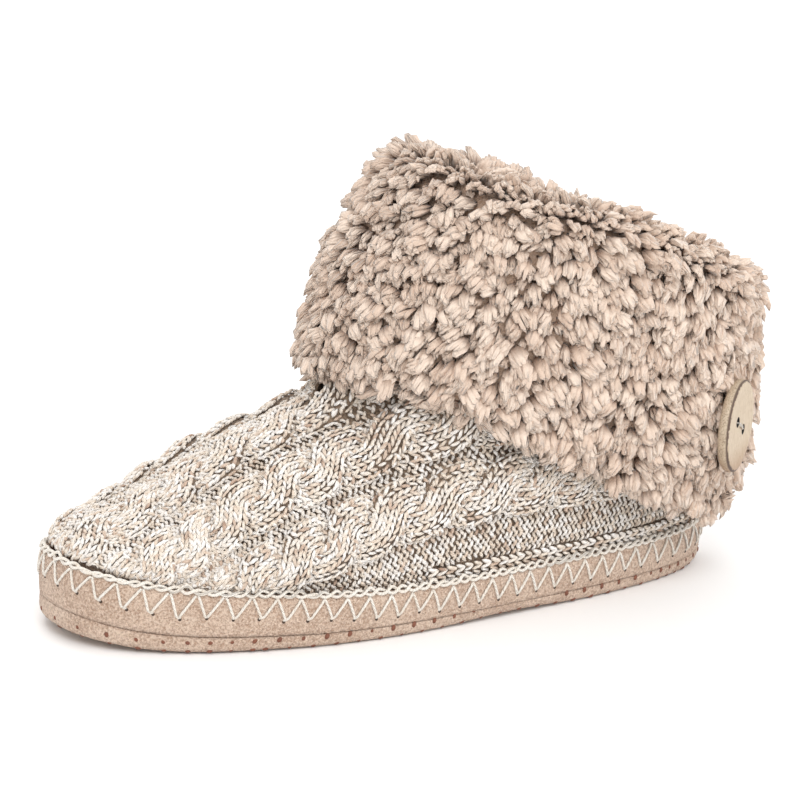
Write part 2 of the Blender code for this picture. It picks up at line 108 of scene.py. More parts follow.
# The studio: a matt white table top, a broad soft light over the toe side, a weaker one over
# the heel side, and even white light from all round.
FLOOR_REACH, FLOOR_GRAIN, FLOOR_BUMP, FLOOR_ROUGH = 6.0, 30.0, 0.02, 0.7
FLOOR_WHITE = (0.93, 0.925, 0.92, 1)
LIGHTS = (  # name, place, width, watts
    ("key_light", (0.75, 0.95, 1.25), 0.8, 10.2),
    ("fill_light", (-0.9, 1.0, 0.9), 1.2, 7.0),
    ("back_light", (0.1, -1.1, 1.2), 1.0, 6.0),
)
LIGHT_AIM, AIR_LIGHT = 0.6, 0.96
corners = ((-1, -1), (1, -1), (1, 1), (-1, 1))
floor = new_piece("table_top", plain_mesh(
    "table_top", [(x * FLOOR_REACH, y * FLOOR_REACH, 0) for x, y in corners], [(0, 1, 2, 3)]))
floor_paint, floor_tree, surface = new_material("table_white")
grain = add_node(floor_tree, "ShaderNodeTexNoise", {"Scale": FLOOR_GRAIN})
bump = add_node(floor_tree, "ShaderNodeBump",
                {"Height": grain.outputs["Fac"], "Strength": FLOOR_BUMP})
floor_tree.links.new(bump.outputs["Normal"], surface.inputs["Normal"])
surface.inputs["Base Color"].default_value = FLOOR_WHITE
surface.inputs["Roughness"].default_value = FLOOR_ROUGH
floor.data.materials.append(floor_paint)
for name, spot, width, watts in LIGHTS:
    lamp = bpy.data.lights.new(name, "AREA")
    lamp.energy, lamp.size = watts, width
    holder = new_piece(name, lamp)
    holder.location = spot
    holder.rotation_mode = "QUATERNION"
    holder.rotation_quaternion = (AIM * LIGHT_AIM - Vector(spot)).to_track_quat("-Z", "Y")
world = bpy.data.worlds.new("studio_air")
world.use_nodes = True
air = world.node_tree.nodes["Background"].inputs
air["Color"].default_value, air["Strength"].default_value = (1, 1, 1, 1), AIR_LIGHT
scene.world = world
scene.view_settings.view_transform = "Standard"

# The outsole: a tread of warm tan suedette, cut to the last's plan and turned up a little
# round its edge. It is glued and sewn under the side band, and carries grip dots.
SUEDE_LIGHT, SUEDE_DARK = (0.86, 0.67, 0.53, 1), (0.48, 0.31, 0.215, 1)
MELT_ANGLE, CORNER_ANGLE, CORNER_HARD = radians(60), radians(40), 0.95
TOE_SETTLE, SETTLE_START, SETTLE_FULL, TREAD_JOIN = 0.0042, 0.150, 0.216, 0.00030


@contextmanager
def reshaping(mesh, into=None):
    """Opens a mesh for reshaping, then writes it back or into another mesh."""
    shape = bmesh.new()
    shape.from_mesh(mesh)
    yield shape
    shape.to_mesh(into or mesh)
    shape.free()


def settle(made):
    """Turns what the modifiers make into the piece's own plain mesh and removes them."""
    bpy.context.view_layer.update()
    graph = bpy.context.evaluated_depsgraph_get()
    mesh = bpy.data.meshes.new_from_object(
        made.evaluated_get(graph), preserve_all_data_layers=True, depsgraph=graph)
    made.modifiers.clear()
    made.data = mesh
    mesh.name = made.name
    mesh.shade_smooth()
    return made


def smooth_copy(name, node, levels, cornered=False):
    """The CAD node's own shape, with its flat facets melted into one smooth skin."""
    mesh = bpy.data.meshes.new(name)
    with reshaping(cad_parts[node].data, mesh) as shape:
        bmesh.ops.remove_doubles(shape, verts=shape.verts, dist=1e-5)
        bmesh.ops.join_triangles(shape, faces=shape.faces, angle_face_threshold=MELT_ANGLE,
                                 angle_shape_threshold=MELT_ANGLE)
        if cornered:
            kept = shape.edges.layers.float.new("crease_edge")
            for edge in shape.edges:
                if edge.calc_face_angle(0.0) > CORNER_ANGLE:
                    edge[kept] = CORNER_HARD
    for layer in [layer.name for layer in mesh.uv_layers]:
        mesh.uv_layers.remove(mesh.uv_layers[layer])
    mesh.materials.clear()
    made = new_piece(name, mesh)
    melt = made.modifiers.new("melt", "SUBSURF")
    melt.levels = melt.render_levels = levels
    return settle(made)


def corners_of(mesh):
    """The mesh's points and their normals as two arrays."""
    points, normals = np.zeros(len(mesh.vertices) * 3), np.zeros(len(mesh.vertices) * 3)
    mesh.vertices.foreach_get("co", points)
    mesh.vertices.foreach_get("normal", normals)
    return points.reshape(-1, 3), normals.reshape(-1, 3)


def move_corners(mesh, points):
    """Moves the mesh's points to new places."""
    mesh.vertices.foreach_set("co", points.ravel())
    mesh.update()


def noise_at(tree, place, scale, detail, rough=0.5):
    """A cloudy pattern that is read at a place."""
    return add_node(tree, "ShaderNodeTexNoise", {
        "Vector": place, "Scale": scale, "Detail": detail, "Roughness": rough}).outputs["Fac"]


def reckon(tree, operation, *values):
    """The result of one sum on numbers or sockets."""
    return add_node(tree, "ShaderNodeMath", dict(enumerate(values)), operation=operation).outputs[0]


def span(tree, value, low, high, first=0.0, last=1.0):
    """A value between two limits, stretched to run from the first number to the last."""
    return add_node(tree, "ShaderNodeMapRange", {"Value": value, "From Min": low, "From Max": high,
                                                 "To Min": first, "To Max": last}).outputs[0]


def blend(tree, share, first, last, data_type="RGBA", **settings):
    """Two colours or numbers, mixed by a share of the last."""
    return add_node(tree, "ShaderNodeMix", {"Factor": share, "A": first, "B": last},
                    data_type=data_type, **settings).outputs["Result"]


def finish_surface(tree, surface, colour, height, relief, depth, **plain):
    """Gives a surface its colour, its bump and its plain settings."""
    bump = add_node(tree, "ShaderNodeBump",
                    {"Height": height, "Strength": relief, "Distance": depth})
    tree.links.new(colour, surface.inputs["Base Color"])
    tree.links.new(bump.outputs["Normal"], surface.inputs["Normal"])
    for key, value in plain.items():
        surface.inputs[key.replace("_", " ")].default_value = value


def nap_material(name, light, dark, mottle, relief, grain_size, speckle=0.3):
    """Brushed cloth: mottled colour, a fine speckle and a short nap that catches the light."""
    made, tree, surface = new_material(name)
    place = add_node(tree, "ShaderNodeTexCoord").outputs["Object"]
    nap = reckon(tree, "SUBTRACT", noise_at(tree, place, 1 / grain_size, 3.0, 0.7), 0.5)
    both = reckon(tree, "MULTIPLY_ADD", nap, 1 + 4 * speckle, noise_at(tree, place, 60.0, 5.0, 0.6))
    tint = blend(tree, span(tree, both, 0.5 - mottle, 0.5 + mottle), dark, light)
    finish_surface(tree, surface, tint, both, relief, 0.0006, Roughness=0.92,
                   Specular_IOR_Level=0.2, Sheen_Weight=0.25, Sheen_Roughness=0.5)
    return made


def settle_in(piece, node, material):
    """The piece takes its material, rides on the shoe and stands for its CAD node."""
    piece.data.materials.clear()
    piece.data.materials.append(material)
    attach(piece, "root")
    if node:
        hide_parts(node)


def settled_toe(made, join=0.0):
    """Lets the worn-in toe rest lower than the new last; join lifts a top face to the band."""
    spots, faces_out = corners_of(made.data)
    share = np.clip((spots[:, 0] - SETTLE_START) / (SETTLE_FULL - SETTLE_START), 0, 1)
    spots[:, 2] -= TOE_SETTLE * share * share * (3 - 2 * share)
    spots[:, 2] += join * (faces_out[:, 2] > 0.3)
    spots[:, 2] = np.maximum(spots[:, 2], 0.0)
    move_corners(made.data, spots)


suede = nap_material("suedette", SUEDE_LIGHT, SUEDE_DARK, 0.42, 0.9, 0.0008, 0.60)
outsole = smooth_copy("outsole_tread", "outsole", 2, True)
settled_toe(outsole, TREAD_JOIN)
settle_in(outsole, "outsole", suede)

# The side band: a strip of the same suedette over a foam edge, lasted round the shoe. Its
# lower edge is sewn to the tread and its upper edge takes the knitted upper.
band = smooth_copy("side_band_strip", "side_band", 2, True)
settled_toe(band)
settle_in(band, "side_band", suede)

# The knitted upper: a chunky marled cable knit, made as one piece from toe to heel. Five rope
# cables run from the toe to the heel between narrow bands of purl, and the rows cross them.
# The knit ground's two colours are painted shade for the gaps between the stitches.
KNIT_DEEP_SHADE, KNIT_SHADE = (0.17, 0.115, 0.08, 1), (0.38, 0.28, 0.20, 1)
TOE_TIP, TOE_FAN, TOE_FAN_SPEED = 0.195, 0.052, 0.55
TOE_LEAN, RIDGE_LEAN = radians(72), radians(17)
LEAN_START, LEAN_FULL = 0.068, 0.113
HEEL_X, HEEL_FAN = 0.013, 0.056
RUN_STEP, ACROSS_STEP, ACROSS_MOST = 0.0012, 0.0008, 0.128
FROZEN_FROM = 0.113
TOE_EASE, TOE_EASE_START, TOE_EASE_FULL = 0.17, 0.145, 0.200
ROW_BREAK, ROW_MARKS, ROW_SMOOTHING, LINE_SMOOTHING = 0.008, 170, 24, 7
BAND_NEAR, BAND_LEVEL, UNDER_BAND, SKIN_OUTSIDE = 0.006, 0.0163, 0.0012, 0.25
CABLE_LINE = ((-0.040, 0.0450), (0.073, 0.0445), (0.096, 0.0420), (FROZEN_FROM, 0.0380))
toe_run = TOE_TIP - TOE_FAN * TOE_FAN_SPEED
RUN_END = TOE_FAN + (toe_run - HEEL_X) + HEEL_FAN


def surface_of(mesh):
    """The mesh as a surface that rays are cast at."""
    return BVHTree.FromPolygons([Vector(v.co) for v in mesh.vertices],
                                [tuple(f.vertices) for f in mesh.polygons])


skin = smooth_copy("upper_skin", "upper", 2)
settled_toe(skin)
skin_tree = surface_of(skin.data)
band_points = corners_of(band.data)[0]


def seam_height(x):
    """Height of the side band's top edge above the floor, at a distance along the shoe."""
    beside = band_points[np.abs(band_points[:, 0] - x) < BAND_NEAR]
    return float(beside[:, 2].max()) if len(beside) else BAND_LEVEL


SEAM_X = np.linspace(-0.04, 0.222, 60)
SEAM_Z = np.array([seam_height(x) for x in SEAM_X])


def knit_section(run, hand):
    """Where one row of the knit is cut: its foot on the midline, its way up and its way out."""
    if run < TOE_FAN:
        share = run / TOE_FAN
        x = TOE_TIP - run * TOE_FAN_SPEED
        lean = TOE_LEAN + (RIDGE_LEAN - TOE_LEAN) * share * (2 - share)
        turn = 0.0
    else:
        x = max(toe_run - (run - TOE_FAN), HEEL_X)
        lean = RIDGE_LEAN * min(max((x - LEAN_START) / (LEAN_FULL - LEAN_START), 0), 1)
        turn = max(run - TOE_FAN - (toe_run - HEEL_X), 0) / HEEL_FAN * pi / 2
    foot = Vector((x, 0, float(np.interp(x, SEAM_X, SEAM_Z)) - UNDER_BAND))
    if turn > 0:
        foot.z = float(np.interp(HEEL_X, SEAM_X, SEAM_Z)) - UNDER_BAND
    return foot, Vector((sin(lean), 0, cos(lean))), Vector((-sin(turn), hand * cos(turn), 0))


def row_line(run, hand, rays=140):
    """Points up one row of the outer skin, from the band to the ridge or the collar's rim."""
    foot, up, out = knit_section(run, hand)
    line = []
    for angle in np.linspace(pi / 2, 0, rays):
        way = up * cos(angle) + out * sin(angle)
        hit = skin_tree.ray_cast(foot + way * SKIN_OUTSIDE, -way)[0]
        if hit is None or (line and (hit - line[-1]).length > ROW_BREAK):
            break
        line.append(hit)
    line = np.array(line)
    length = np.concatenate([[0], np.cumsum(np.linalg.norm(np.diff(line, axis=0), axis=1))])
    marks = np.arange(ROW_MARKS) * ACROSS_STEP
    points = np.stack([np.interp(marks, length, line[:, i]) for i in range(3)], axis=1)
    points[marks > length[-1]] = np.nan
    return points, length[-1]


def eased_toe(x, z):
    """Height of a point of the toe once the soft knit there has settled towards the band."""
    foot = np.interp(x, SEAM_X, SEAM_Z)
    share = np.clip((x - TOE_EASE_START) / (TOE_EASE_FULL - TOE_EASE_START), 0, 1)
    return foot + (z - foot) * (1 - TOE_EASE * share * share * (3 - 2 * share) * (z > foot))


def knit_chart(hand):
    """The knit's chart on one side: a grid of points by run from the toe and by wale."""
    runs = np.arange(0, RUN_END + RUN_STEP, RUN_STEP)
    lines = [row_line(run, hand) for run in runs]
    rows, reach = np.array([line[0] for line in lines]), np.array([line[1] for line in lines])
    feet = np.array([knit_section(run, hand)[0].x for run in runs])
    front = feet > FROZEN_FROM
    for _ in range(ROW_SMOOTHING):
        for moved, first, last in ((rows[1:-1], rows[:-2], rows[2:]),
                                   (rows[:, 1:-1], rows[:, :-2], rows[:, 2:])):
            mean = (first + 2 * moved + last) / 4
            moved[...] = np.where(np.isnan(mean), moved, mean)
    marks = np.arange(ROW_MARKS) * ACROSS_STEP
    cable = np.interp(feet, [c[0] for c in CABLE_LINE], [c[1] for c in CABLE_LINE])
    zero = np.zeros(len(runs))
    for i, row in enumerate(rows):
        there = ~np.isnan(row[:, 2])
        zero[i] = reach[i] if front[i] else np.interp(cable[i], row[there, 2], marks[there])
    frozen = zero[front][-1] - np.interp(CABLE_LINE[-1][1], rows[front][-1][:60, 2], marks[:60])
    zero[~front] += frozen
    wide = np.pad(zero, LINE_SMOOTHING, mode="edge")
    zero = np.convolve(wide, np.ones(2 * LINE_SMOOTHING + 1) / (2 * LINE_SMOOTHING + 1), "valid")
    wales = np.arange(0, ACROSS_MOST, ACROSS_STEP)
    chart = np.zeros((len(runs), len(wales), 3))
    for i, row in enumerate(rows):
        there = ~np.isnan(row[:, 2])
        for axis in range(3):
            chart[i, :, axis] = np.interp(zero[i] - wales, marks[there], row[there, axis])
    chart[:, :, 2] = eased_toe(chart[:, :, 0], chart[:, :, 2])
    return chart, np.maximum(zero - reach, 0), zero


charts = {hand: knit_chart(hand) for hand in (1, -1)}


def on_hand(wale, hand):
    """Which wales lie on one side of the ridge."""
    return (wale >= 0) if hand > 0 else (wale < 0)


def on_knit(run, wale):
    """Places on the knit's skin with the way out, the way to the heel and the way across."""
    run, wale = np.atleast_1d(run).astype(float), np.atleast_1d(wale).astype(float)
    place = np.zeros((len(run), 3))
    along, across = np.zeros_like(place), np.zeros_like(place)
    for hand in (1, -1):
        chosen = on_hand(wale, hand)
        grid = charts[hand][0]
        r = np.clip(run[chosen] / RUN_STEP, 1, len(grid) - 2.001)
        w = np.clip(np.abs(wale[chosen]) / ACROSS_STEP, 1, grid.shape[1] - 2.001)
        i, j = r.astype(int), w.astype(int)
        a, b = (r - i)[:, None], (w - j)[:, None]
        p00, p10, p01, p11 = grid[i, j], grid[i + 1, j], grid[i, j + 1], grid[i + 1, j + 1]
        place[chosen] = (p00 * (1 - a) * (1 - b) + p10 * a * (1 - b)
                         + p01 * (1 - a) * b + p11 * a * b)
        along[chosen] = grid[i + 1, j] - grid[i - 1, j]
        across[chosen] = (grid[i, j + 1] - grid[i, j - 1]) * hand
    along /= np.linalg.norm(along, axis=1, keepdims=True) + 1e-12
    across -= along * (along * across).sum(1, keepdims=True)
    across /= np.linalg.norm(across, axis=1, keepdims=True) + 1e-12
    out = np.cross(across, along)
    return place, out, along, across


# The knit's stitches: each cable is a rope of two flat strands that cross over the same way
# each time. A strand's wales follow it, so its stitches lean where it climbs over the other.
ROW_HEIGHT, WALE_WIDTH = 0.0022, 0.0017
STRAND_COLUMNS, STRAND_REACH = 7, 0.008
STRAND_HALF, STRAND_SWING, STRAND_RISE, STRAND_DOME = 0.0057, 0.0050, 0.0016, 0.0021
CROSSING_SHARPNESS = 1.35
LEG_STRAY, LEG_LOOSE, LEG_SIZES = 0.13, 0.00012, (0.84, 1.16)
CABLE_TONE, PURL_TONE, TONE_STRAY, TONE_MOST = 0.40, 0.42, 0.15, 0.8
FLANK_SHARE, FLANK_DROP = 1.03, 0.42
CABLES = (  # wale on the outer side, length of a crossing, first crossing from the toe
    (0.0030, 0.0205, 0.0120), (0.0280, 0.0198, 0.0180), (0.0525, 0.0185, 0.0150),
    (-0.0280, 0.0198, 0.0120), (-0.0525, 0.0185, 0.0170))
LEG_LENGTH, LEG_WIDTH, LEG_LEAN = 0.0043, 0.00140, radians(19)
PURL_LENGTH, PURL_SINK, PURL_LEAN = 0.0031, 0.0010, radians(32)
EDGE_FADE, TOE_CALM_END, TOE_CALM, KNIT_SINK = 0.006, 0.055, 0.45, 0.0006
CHAIN_START, CHAIN_PITCH, CHAIN_LEAN, CHAIN_LENGTH = 0.120, 0.0036, radians(24), 0.0049
CHAIN_WIDTH, CHAIN_BAND, CHAIN_HALF = 0.00165, 0.0078, 0.00075
CHAIN_ROWS = ((0.0024, 0.0011), (0.0060, 0.0007))  # way up from the band, height
PURL_REACH, PURL_SHIFT, PURL_STRAY, PURL_LIFT = 0.105, 0.0004, 0.00015, 0.0004
FINE_STEP, SEARCH_STEP, COVER_SHARE, COVER_RISE = 0.0005, 0.0004, 0.74, 0.4
FLANK_TILT, DOME_TILT, OWN_DOME, SHOWN_SLACK = 1.25, 0.75, 0.8, 0.0006
CUFF_COVER, HEM_MARGIN, THROAT_KEPT = 0.03, 0.014, 0.050
KNIT_SEED = 11
draw = np.random.default_rng(KNIT_SEED)


def strand_at(run, cable, strand):
    """The strand's place across the cable, its height and its slant, at a run from the toe."""
    wale, pitch, first = cable
    phase = pi * (run - first) / pitch + pi / 2 + strand * pi
    firm = np.tanh(CROSSING_SHARPNESS)
    swing = STRAND_SWING * np.tanh(CROSSING_SHARPNESS * np.cos(phase)) / firm
    slope = np.gradient(swing, run) if len(run) > 1 else np.zeros(1)
    return swing, STRAND_RISE * np.sin(phase), np.arctan(slope)


def wale_limits(run, hand):
    """The knit's first and last wale at a run: the ridge or the rim, and the band."""
    chart, low, high = charts[hand]
    runs = np.arange(len(low)) * RUN_STEP
    return np.interp(run, runs, low), np.interp(run, runs, high)


FINE_RUN = np.arange(0, RUN_END, FINE_STEP)
strand_table = {(c, k): strand_at(FINE_RUN, cable, k)
                for c, cable in enumerate(CABLES) for k in (0, 1)}


def fade_at_band(run, wale):
    """One over the knit, falling to nothing where it is sewn in at the band."""
    fade = np.ones_like(run)
    for hand in (1, -1):
        chosen = on_hand(wale, hand)
        high = wale_limits(run[chosen], hand)[1]
        fade[chosen] = np.clip((high - np.abs(wale[chosen])) / EDGE_FADE, 0, 1)
    return fade * np.interp(run, (0.0005, EDGE_FADE, TOE_CALM_END), (0.0, TOE_CALM, 1.0))


def above_strand(run, wale, cable, strand):
    """How far a place lies from a strand's middle line, and the strand's height there."""
    swing, rise, _ = strand_table[(cable, strand)]
    least, height = np.full(len(run), 1.0), np.zeros(len(run))
    for step in np.arange(-STRAND_REACH, STRAND_REACH, SEARCH_STEP):
        middle = CABLES[cable][0] + np.interp(run + step, FINE_RUN, swing)
        gap = np.hypot(step, wale - middle)
        nearer = gap < least
        least[nearer] = gap[nearer]
        height[nearer] = np.interp(run[nearer] + step, FINE_RUN, rise)
    return least / STRAND_HALF, height


def relief(run, wale):
    """How far the knit stands out at each place, and whether a rope strand covers it."""
    height = np.full(len(run), -PURL_SINK)
    covered = np.zeros(len(run), bool)
    for c, k in strand_table:
        near = np.abs(wale - CABLES[c][0]) < STRAND_SWING + STRAND_HALF
        away, rise = above_strand(run[near], wale[near], c, k)
        dome = np.where(away < 1, rise + STRAND_DOME * np.sqrt(np.clip(1 - away ** 2, 0, 1)), -1)
        height[near] = np.maximum(height[near], dome)
        covered[near] |= (away < COVER_SHARE) & (rise > -COVER_RISE * STRAND_RISE)
    return height, covered


def rope_legs():
    """Every visible leg of the cables' stitches: place, axes, size and shade."""
    found = []
    for (c, k), (swing, rise, slant) in strand_table.items():
        wale = CABLES[c][0]
        length = np.concatenate([[0], np.cumsum(np.hypot(np.diff(FINE_RUN), np.diff(swing)))])
        stations = np.arange(0, length[-1], ROW_HEIGHT)
        run = np.interp(stations, length, FINE_RUN)
        here, up, lean = (np.interp(run, FINE_RUN, row) for row in (swing, rise, slant))
        for column in range(-1, STRAND_COLUMNS + 1):
            flank = column in (-1, STRAND_COLUMNS)
            share = np.clip((column + 0.5) / STRAND_COLUMNS * 2 - 1, -FLANK_SHARE, FLANK_SHARE)
            shift = share * STRAND_HALF
            at_run = run - np.sin(lean) * shift
            at_wale = wale + here + np.cos(lean) * shift
            gap, rise_there = above_strand(at_run, at_wale, c, 1 - k)
            top = rise_there + STRAND_DOME * np.sqrt(np.clip(1 - gap ** 2, 0, 1))
            own = up + STRAND_DOME * sqrt(max(1 - share ** 2 * OWN_DOME, 0))
            if flank:
                own = own * FLANK_DROP - PURL_SINK * (1 - FLANK_DROP)
            shown = (gap > 1) | (own > top - SHOWN_SLACK)
            angle = lean + (LEG_LEAN if column % 2 else -LEG_LEAN)
            tilt = np.full(len(run), -share * (FLANK_TILT if flank else DOME_TILT))
            found.append(np.stack([at_run, at_wale, own, angle, tilt, lean], axis=1)[shown])
    return np.concatenate(found)


def purl_legs():
    """The purl bands between the cables: rows of short waves that lie across the wales."""
    found = []
    for i, run in enumerate(np.arange(0.001, RUN_END, ROW_HEIGHT)):
        for j, wale in enumerate(np.arange(-PURL_REACH, PURL_REACH, WALE_WIDTH)):
            found.append((run + (PURL_SHIFT if j % 2 else -PURL_SHIFT), wale, j % 2))
    found = np.array(found)
    found[:, :2] += draw.normal(0, PURL_STRAY, (len(found), 2))
    height, covered = relief(found[:, 0], found[:, 1])
    found, height = found[~covered], height[~covered]
    angle = pi / 2 + np.where(found[:, 2] > 0, PURL_LEAN, -PURL_LEAN)
    zero = np.zeros(len(found))
    return np.stack([found[:, 0], found[:, 1], height + PURL_LIFT, angle, zero, zero], axis=1)


def chain_legs():
    """The bound-off edge above the band: two rows of fat chain stitches, from the waist back."""
    found = []
    for hand in (1, -1):
        for row, lift in CHAIN_ROWS:
            for run in np.arange(CHAIN_START, RUN_END, CHAIN_PITCH):
                high = float(wale_limits(run, hand)[1])
                for side in (-1, 1):
                    wale = hand * (high - row + side * CHAIN_HALF)
                    found.append((run, wale, lift, -hand * side * CHAIN_LEAN, 0.0, 0.0))
    return np.array(found)


def shown_legs(legs):
    """Keeps the legs that lie on the knit, between its ridge or rim and the band."""
    kept = np.zeros(len(legs), bool)
    for hand in (1, -1):
        chosen = on_hand(legs[:, 1], hand)
        low, high = wale_limits(legs[chosen, 0], hand)
        kept[chosen] = (np.abs(legs[chosen, 1]) < high - 0.0002) & (
            np.abs(legs[chosen, 1]) > low - 0.001) & (legs[chosen, 0] < RUN_END - 0.0005)
    return legs[kept]


def tube_faces(first, last, sides):
    """The faces of a tube that runs from one end point, through its rings, to the other."""
    faces = []
    for k in range(sides):
        n = (k + 1) % sides
        faces.append((first, first + 1 + n, first + 1 + k))
        faces += [(a + k, a + n, a + sides + n, a + sides + k)
                  for a in range(first + 1, last - sides, sides)]
        faces.append((last, last - sides + k, last - sides + n))
    return faces


def store(mesh, name, rows):
    """Keeps a number or a vector for each point of a mesh, under a name."""
    kind, field = ("FLOAT_VECTOR", "vector") if rows.ndim > 1 else ("FLOAT", "value")
    mesh.attributes.new(name, kind, "POINT").data.foreach_set(field, rows.ravel())


def leg_shape(name, sides=4, rings=(0.18, 0.5, 0.82), swell=0.5):
    """One leg of a stitch: a short twisted yarn, thick in the middle, bent down at both ends."""
    points, fibre = [(-0.5, 0, -0.30)], [(0.0, 0.0, 0.0)]
    for share in rings:
        width = sin(pi * share) ** swell / 2
        for k in range(sides):
            turn = 2 * pi * k / sides
            points.append((share - 0.5, width * cos(turn),
                           width * sin(turn) * 0.85 - 1.2 * (share - 0.5) ** 2))
            fibre.append((share, k / sides, 0.0))
    points.append((0.5, 0, -0.30))
    fibre.append((1.0, 0.0, 0.0))
    mesh = plain_mesh(name, points, tube_faces(0, len(points) - 1, sides))
    store(mesh, "fibre", np.array(fibre))
    mesh.shade_smooth()
    return new_piece(name, mesh)


def start_tree(name, result, given):
    """An empty geometry tree with its named inputs and the name of what it makes."""
    tree = bpy.data.node_groups.new(name, "GeometryNodeTree")
    for label, kind in given.items():
        tree.interface.new_socket(label, in_out="INPUT", socket_type="NodeSocket" + kind)
    tree.interface.new_socket(result, in_out="OUTPUT", socket_type="NodeSocketGeometry")
    return tree, add_node(tree, "NodeGroupInput").outputs


def end_tree(tree, geometry, material):
    """Paints what the tree has made and hands it out."""
    paint = add_node(tree, "GeometryNodeSetMaterial", {"Geometry": geometry, "Material": material})
    tree.links.new(paint.outputs[0], add_node(tree, "NodeGroupOutput").inputs[0])
    return tree


def run_tree(made, tree, given):
    """Runs a geometry tree on a piece, with a value for each named input."""
    work = made.modifiers.new("making", "NODES")
    work.node_group = tree
    sockets = {item.name: item.identifier for item in tree.interface.items_tree}
    for label, value in given.items():
        work[sockets[label]] = value
    return settle(made)


def chance(tree, low, high, seed, kind="FLOAT"):
    """A random number or vector for each point, between two limits."""
    k = ("FLOAT_VECTOR", "FLOAT", "INT").index(kind)
    return add_node(tree, "FunctionNodeRandomValue", {2 * k: low, 2 * k + 1: high, "Seed": seed},
                    data_type=kind).outputs[k]


def reckon_way(tree, operation, *values):
    """The result of one sum on vectors: a vector, or a number for a length or a product."""
    keys = (0, 3) if operation == "SCALE" else (0, 1)
    made = add_node(tree, "ShaderNodeVectorMath", dict(zip(keys, values)), operation=operation)
    return made.outputs["Value" if operation in ("LENGTH", "DISTANCE", "DOT_PRODUCT") else "Vector"]


def stored_way(tree, name):
    """A vector that the points bring along, by its name."""
    return add_node(tree, "GeometryNodeInputNamedAttribute", {"Name": name},
                    data_type="FLOAT_VECTOR").outputs["Attribute"]


def turned_to(tree, axes, first, second, turn):
    """A rotation with two axes along two ways, and then turned a little on itself."""
    laid = add_node(tree, "FunctionNodeAxesToRotation",
                    {"Primary Axis": first, "Secondary Axis": second},
                    primary_axis=axes[0], secondary_axis=axes[1])
    return add_node(tree, "FunctionNodeRotateRotation",
                    {"Rotation": laid.outputs[0], "Rotate By": turn},
                    rotation_space="LOCAL").outputs[0]


def placing_tree(name, material):
    """A geometry tree that sets one shape on every point, along its axes and at its size."""
    tree, given = start_tree(name, "Pieces", {
        "Points": "Geometry", "Shape": "Object", "Thickness": "Float", "Unevenness": "Float",
        "Seed": "Int"})
    jitter = chance(tree, (-1, -1, -1), (1, 1, 1), given["Seed"], "FLOAT_VECTOR")
    turned = turned_to(tree, "ZX", stored_way(tree, "out"), stored_way(tree, "along"),
                       reckon_way(tree, "SCALE", jitter, given["Unevenness"]))
    shape = add_node(tree, "GeometryNodeObjectInfo", {"Object": given["Shape"]})
    placed = add_node(tree, "GeometryNodeInstanceOnPoints", {
        "Points": given["Points"], "Instance": shape.outputs["Geometry"], "Rotation": turned,
        "Scale": reckon_way(tree, "SCALE", stored_way(tree, "size"), given["Thickness"])})
    real = add_node(tree, "GeometryNodeRealizeInstances", {"Geometry": placed.outputs[0]})
    return end_tree(tree, real.outputs[0], material)


def set_on_points(name, tree, shape, places, along, out, sizes, tones, seed, unevenness=0.05):
    """Runs the tree over a cloud of places and returns the finished plain mesh piece."""
    cloud = plain_mesh(name, [tuple(p) for p in places], [])
    for key, rows in (("along", along), ("out", out),
                      ("size", np.broadcast_to(sizes, places.shape)),
                      ("tone", np.full(len(places), tones))):
        store(cloud, key, rows)
    return run_tree(new_piece(name, cloud), tree, {
        "Shape": shape, "Thickness": 1.0, "Unevenness": unevenness, "Seed": seed})


def stored_value(tree, name, output="Fac"):
    """A number or a vector that the mesh's points bring along to the material."""
    return add_node(tree, "ShaderNodeAttribute", attribute_name=name).outputs[output]


def yarn_material(name, shades, ply):
    """Marled wool yarn: each stitch takes its own shade, and fine plies twist along it."""
    made, tree, surface = new_material(name)
    place = add_node(tree, "ShaderNodeTexCoord").outputs["Object"]
    mixed = reckon(tree, "MULTIPLY_ADD", noise_at(tree, place, 420.0, 3.0), 0.55,
                   stored_value(tree, "tone"))
    shade = add_node(tree, "ShaderNodeValToRGB", {"Fac": mixed})
    ramp = shade.color_ramp
    ramp.elements[0].position, ramp.elements[0].color = shades[0]
    ramp.elements[1].position, ramp.elements[1].color = shades[-1]
    for position, colour in shades[1:-1]:
        ramp.elements.new(position).color = colour
    twist = reckon_way(tree, "DOT_PRODUCT", stored_value(tree, "fibre", "Vector"), (ply, 3.0, 0.0))
    strands = reckon(tree, "SINE", reckon(tree, "MULTIPLY", twist, 2 * pi))
    finish_surface(tree, surface, shade.outputs["Color"], strands, 0.8, 0.0002, Roughness=0.85,
                   Specular_IOR_Level=0.25, Sheen_Weight=0.3)
    return made


def laid_on_knit(legs, length, width):
    """Places, axes and sizes for legs given by run, wale, height, angle and tilt."""
    place, out, along, across = on_knit(legs[:, 0], legs[:, 1])
    fade = fade_at_band(legs[:, 0], legs[:, 1])[:, None]
    place = place + out * (legs[:, 2:3] * fade - KNIT_SINK * fade)
    turn, tilt, lean = (legs[:, i:i + 1] for i in (3, 4, 5))
    # the strand's own side, for the tilt of its dome
    flank = across * np.cos(lean) - along * np.sin(lean)
    way = along * np.cos(turn) + across * np.sin(turn)
    face = out * np.cos(tilt) - flank * np.sin(tilt)
    turn = turn + draw.normal(0, LEG_STRAY, turn.shape)
    place = place + out * draw.normal(0, LEG_LOOSE, turn.shape)
    scale = draw.uniform(*LEG_SIZES, (len(legs), 1))
    size = np.concatenate([length * scale, width * scale, width * scale], axis=1)
    return place, way, face, size


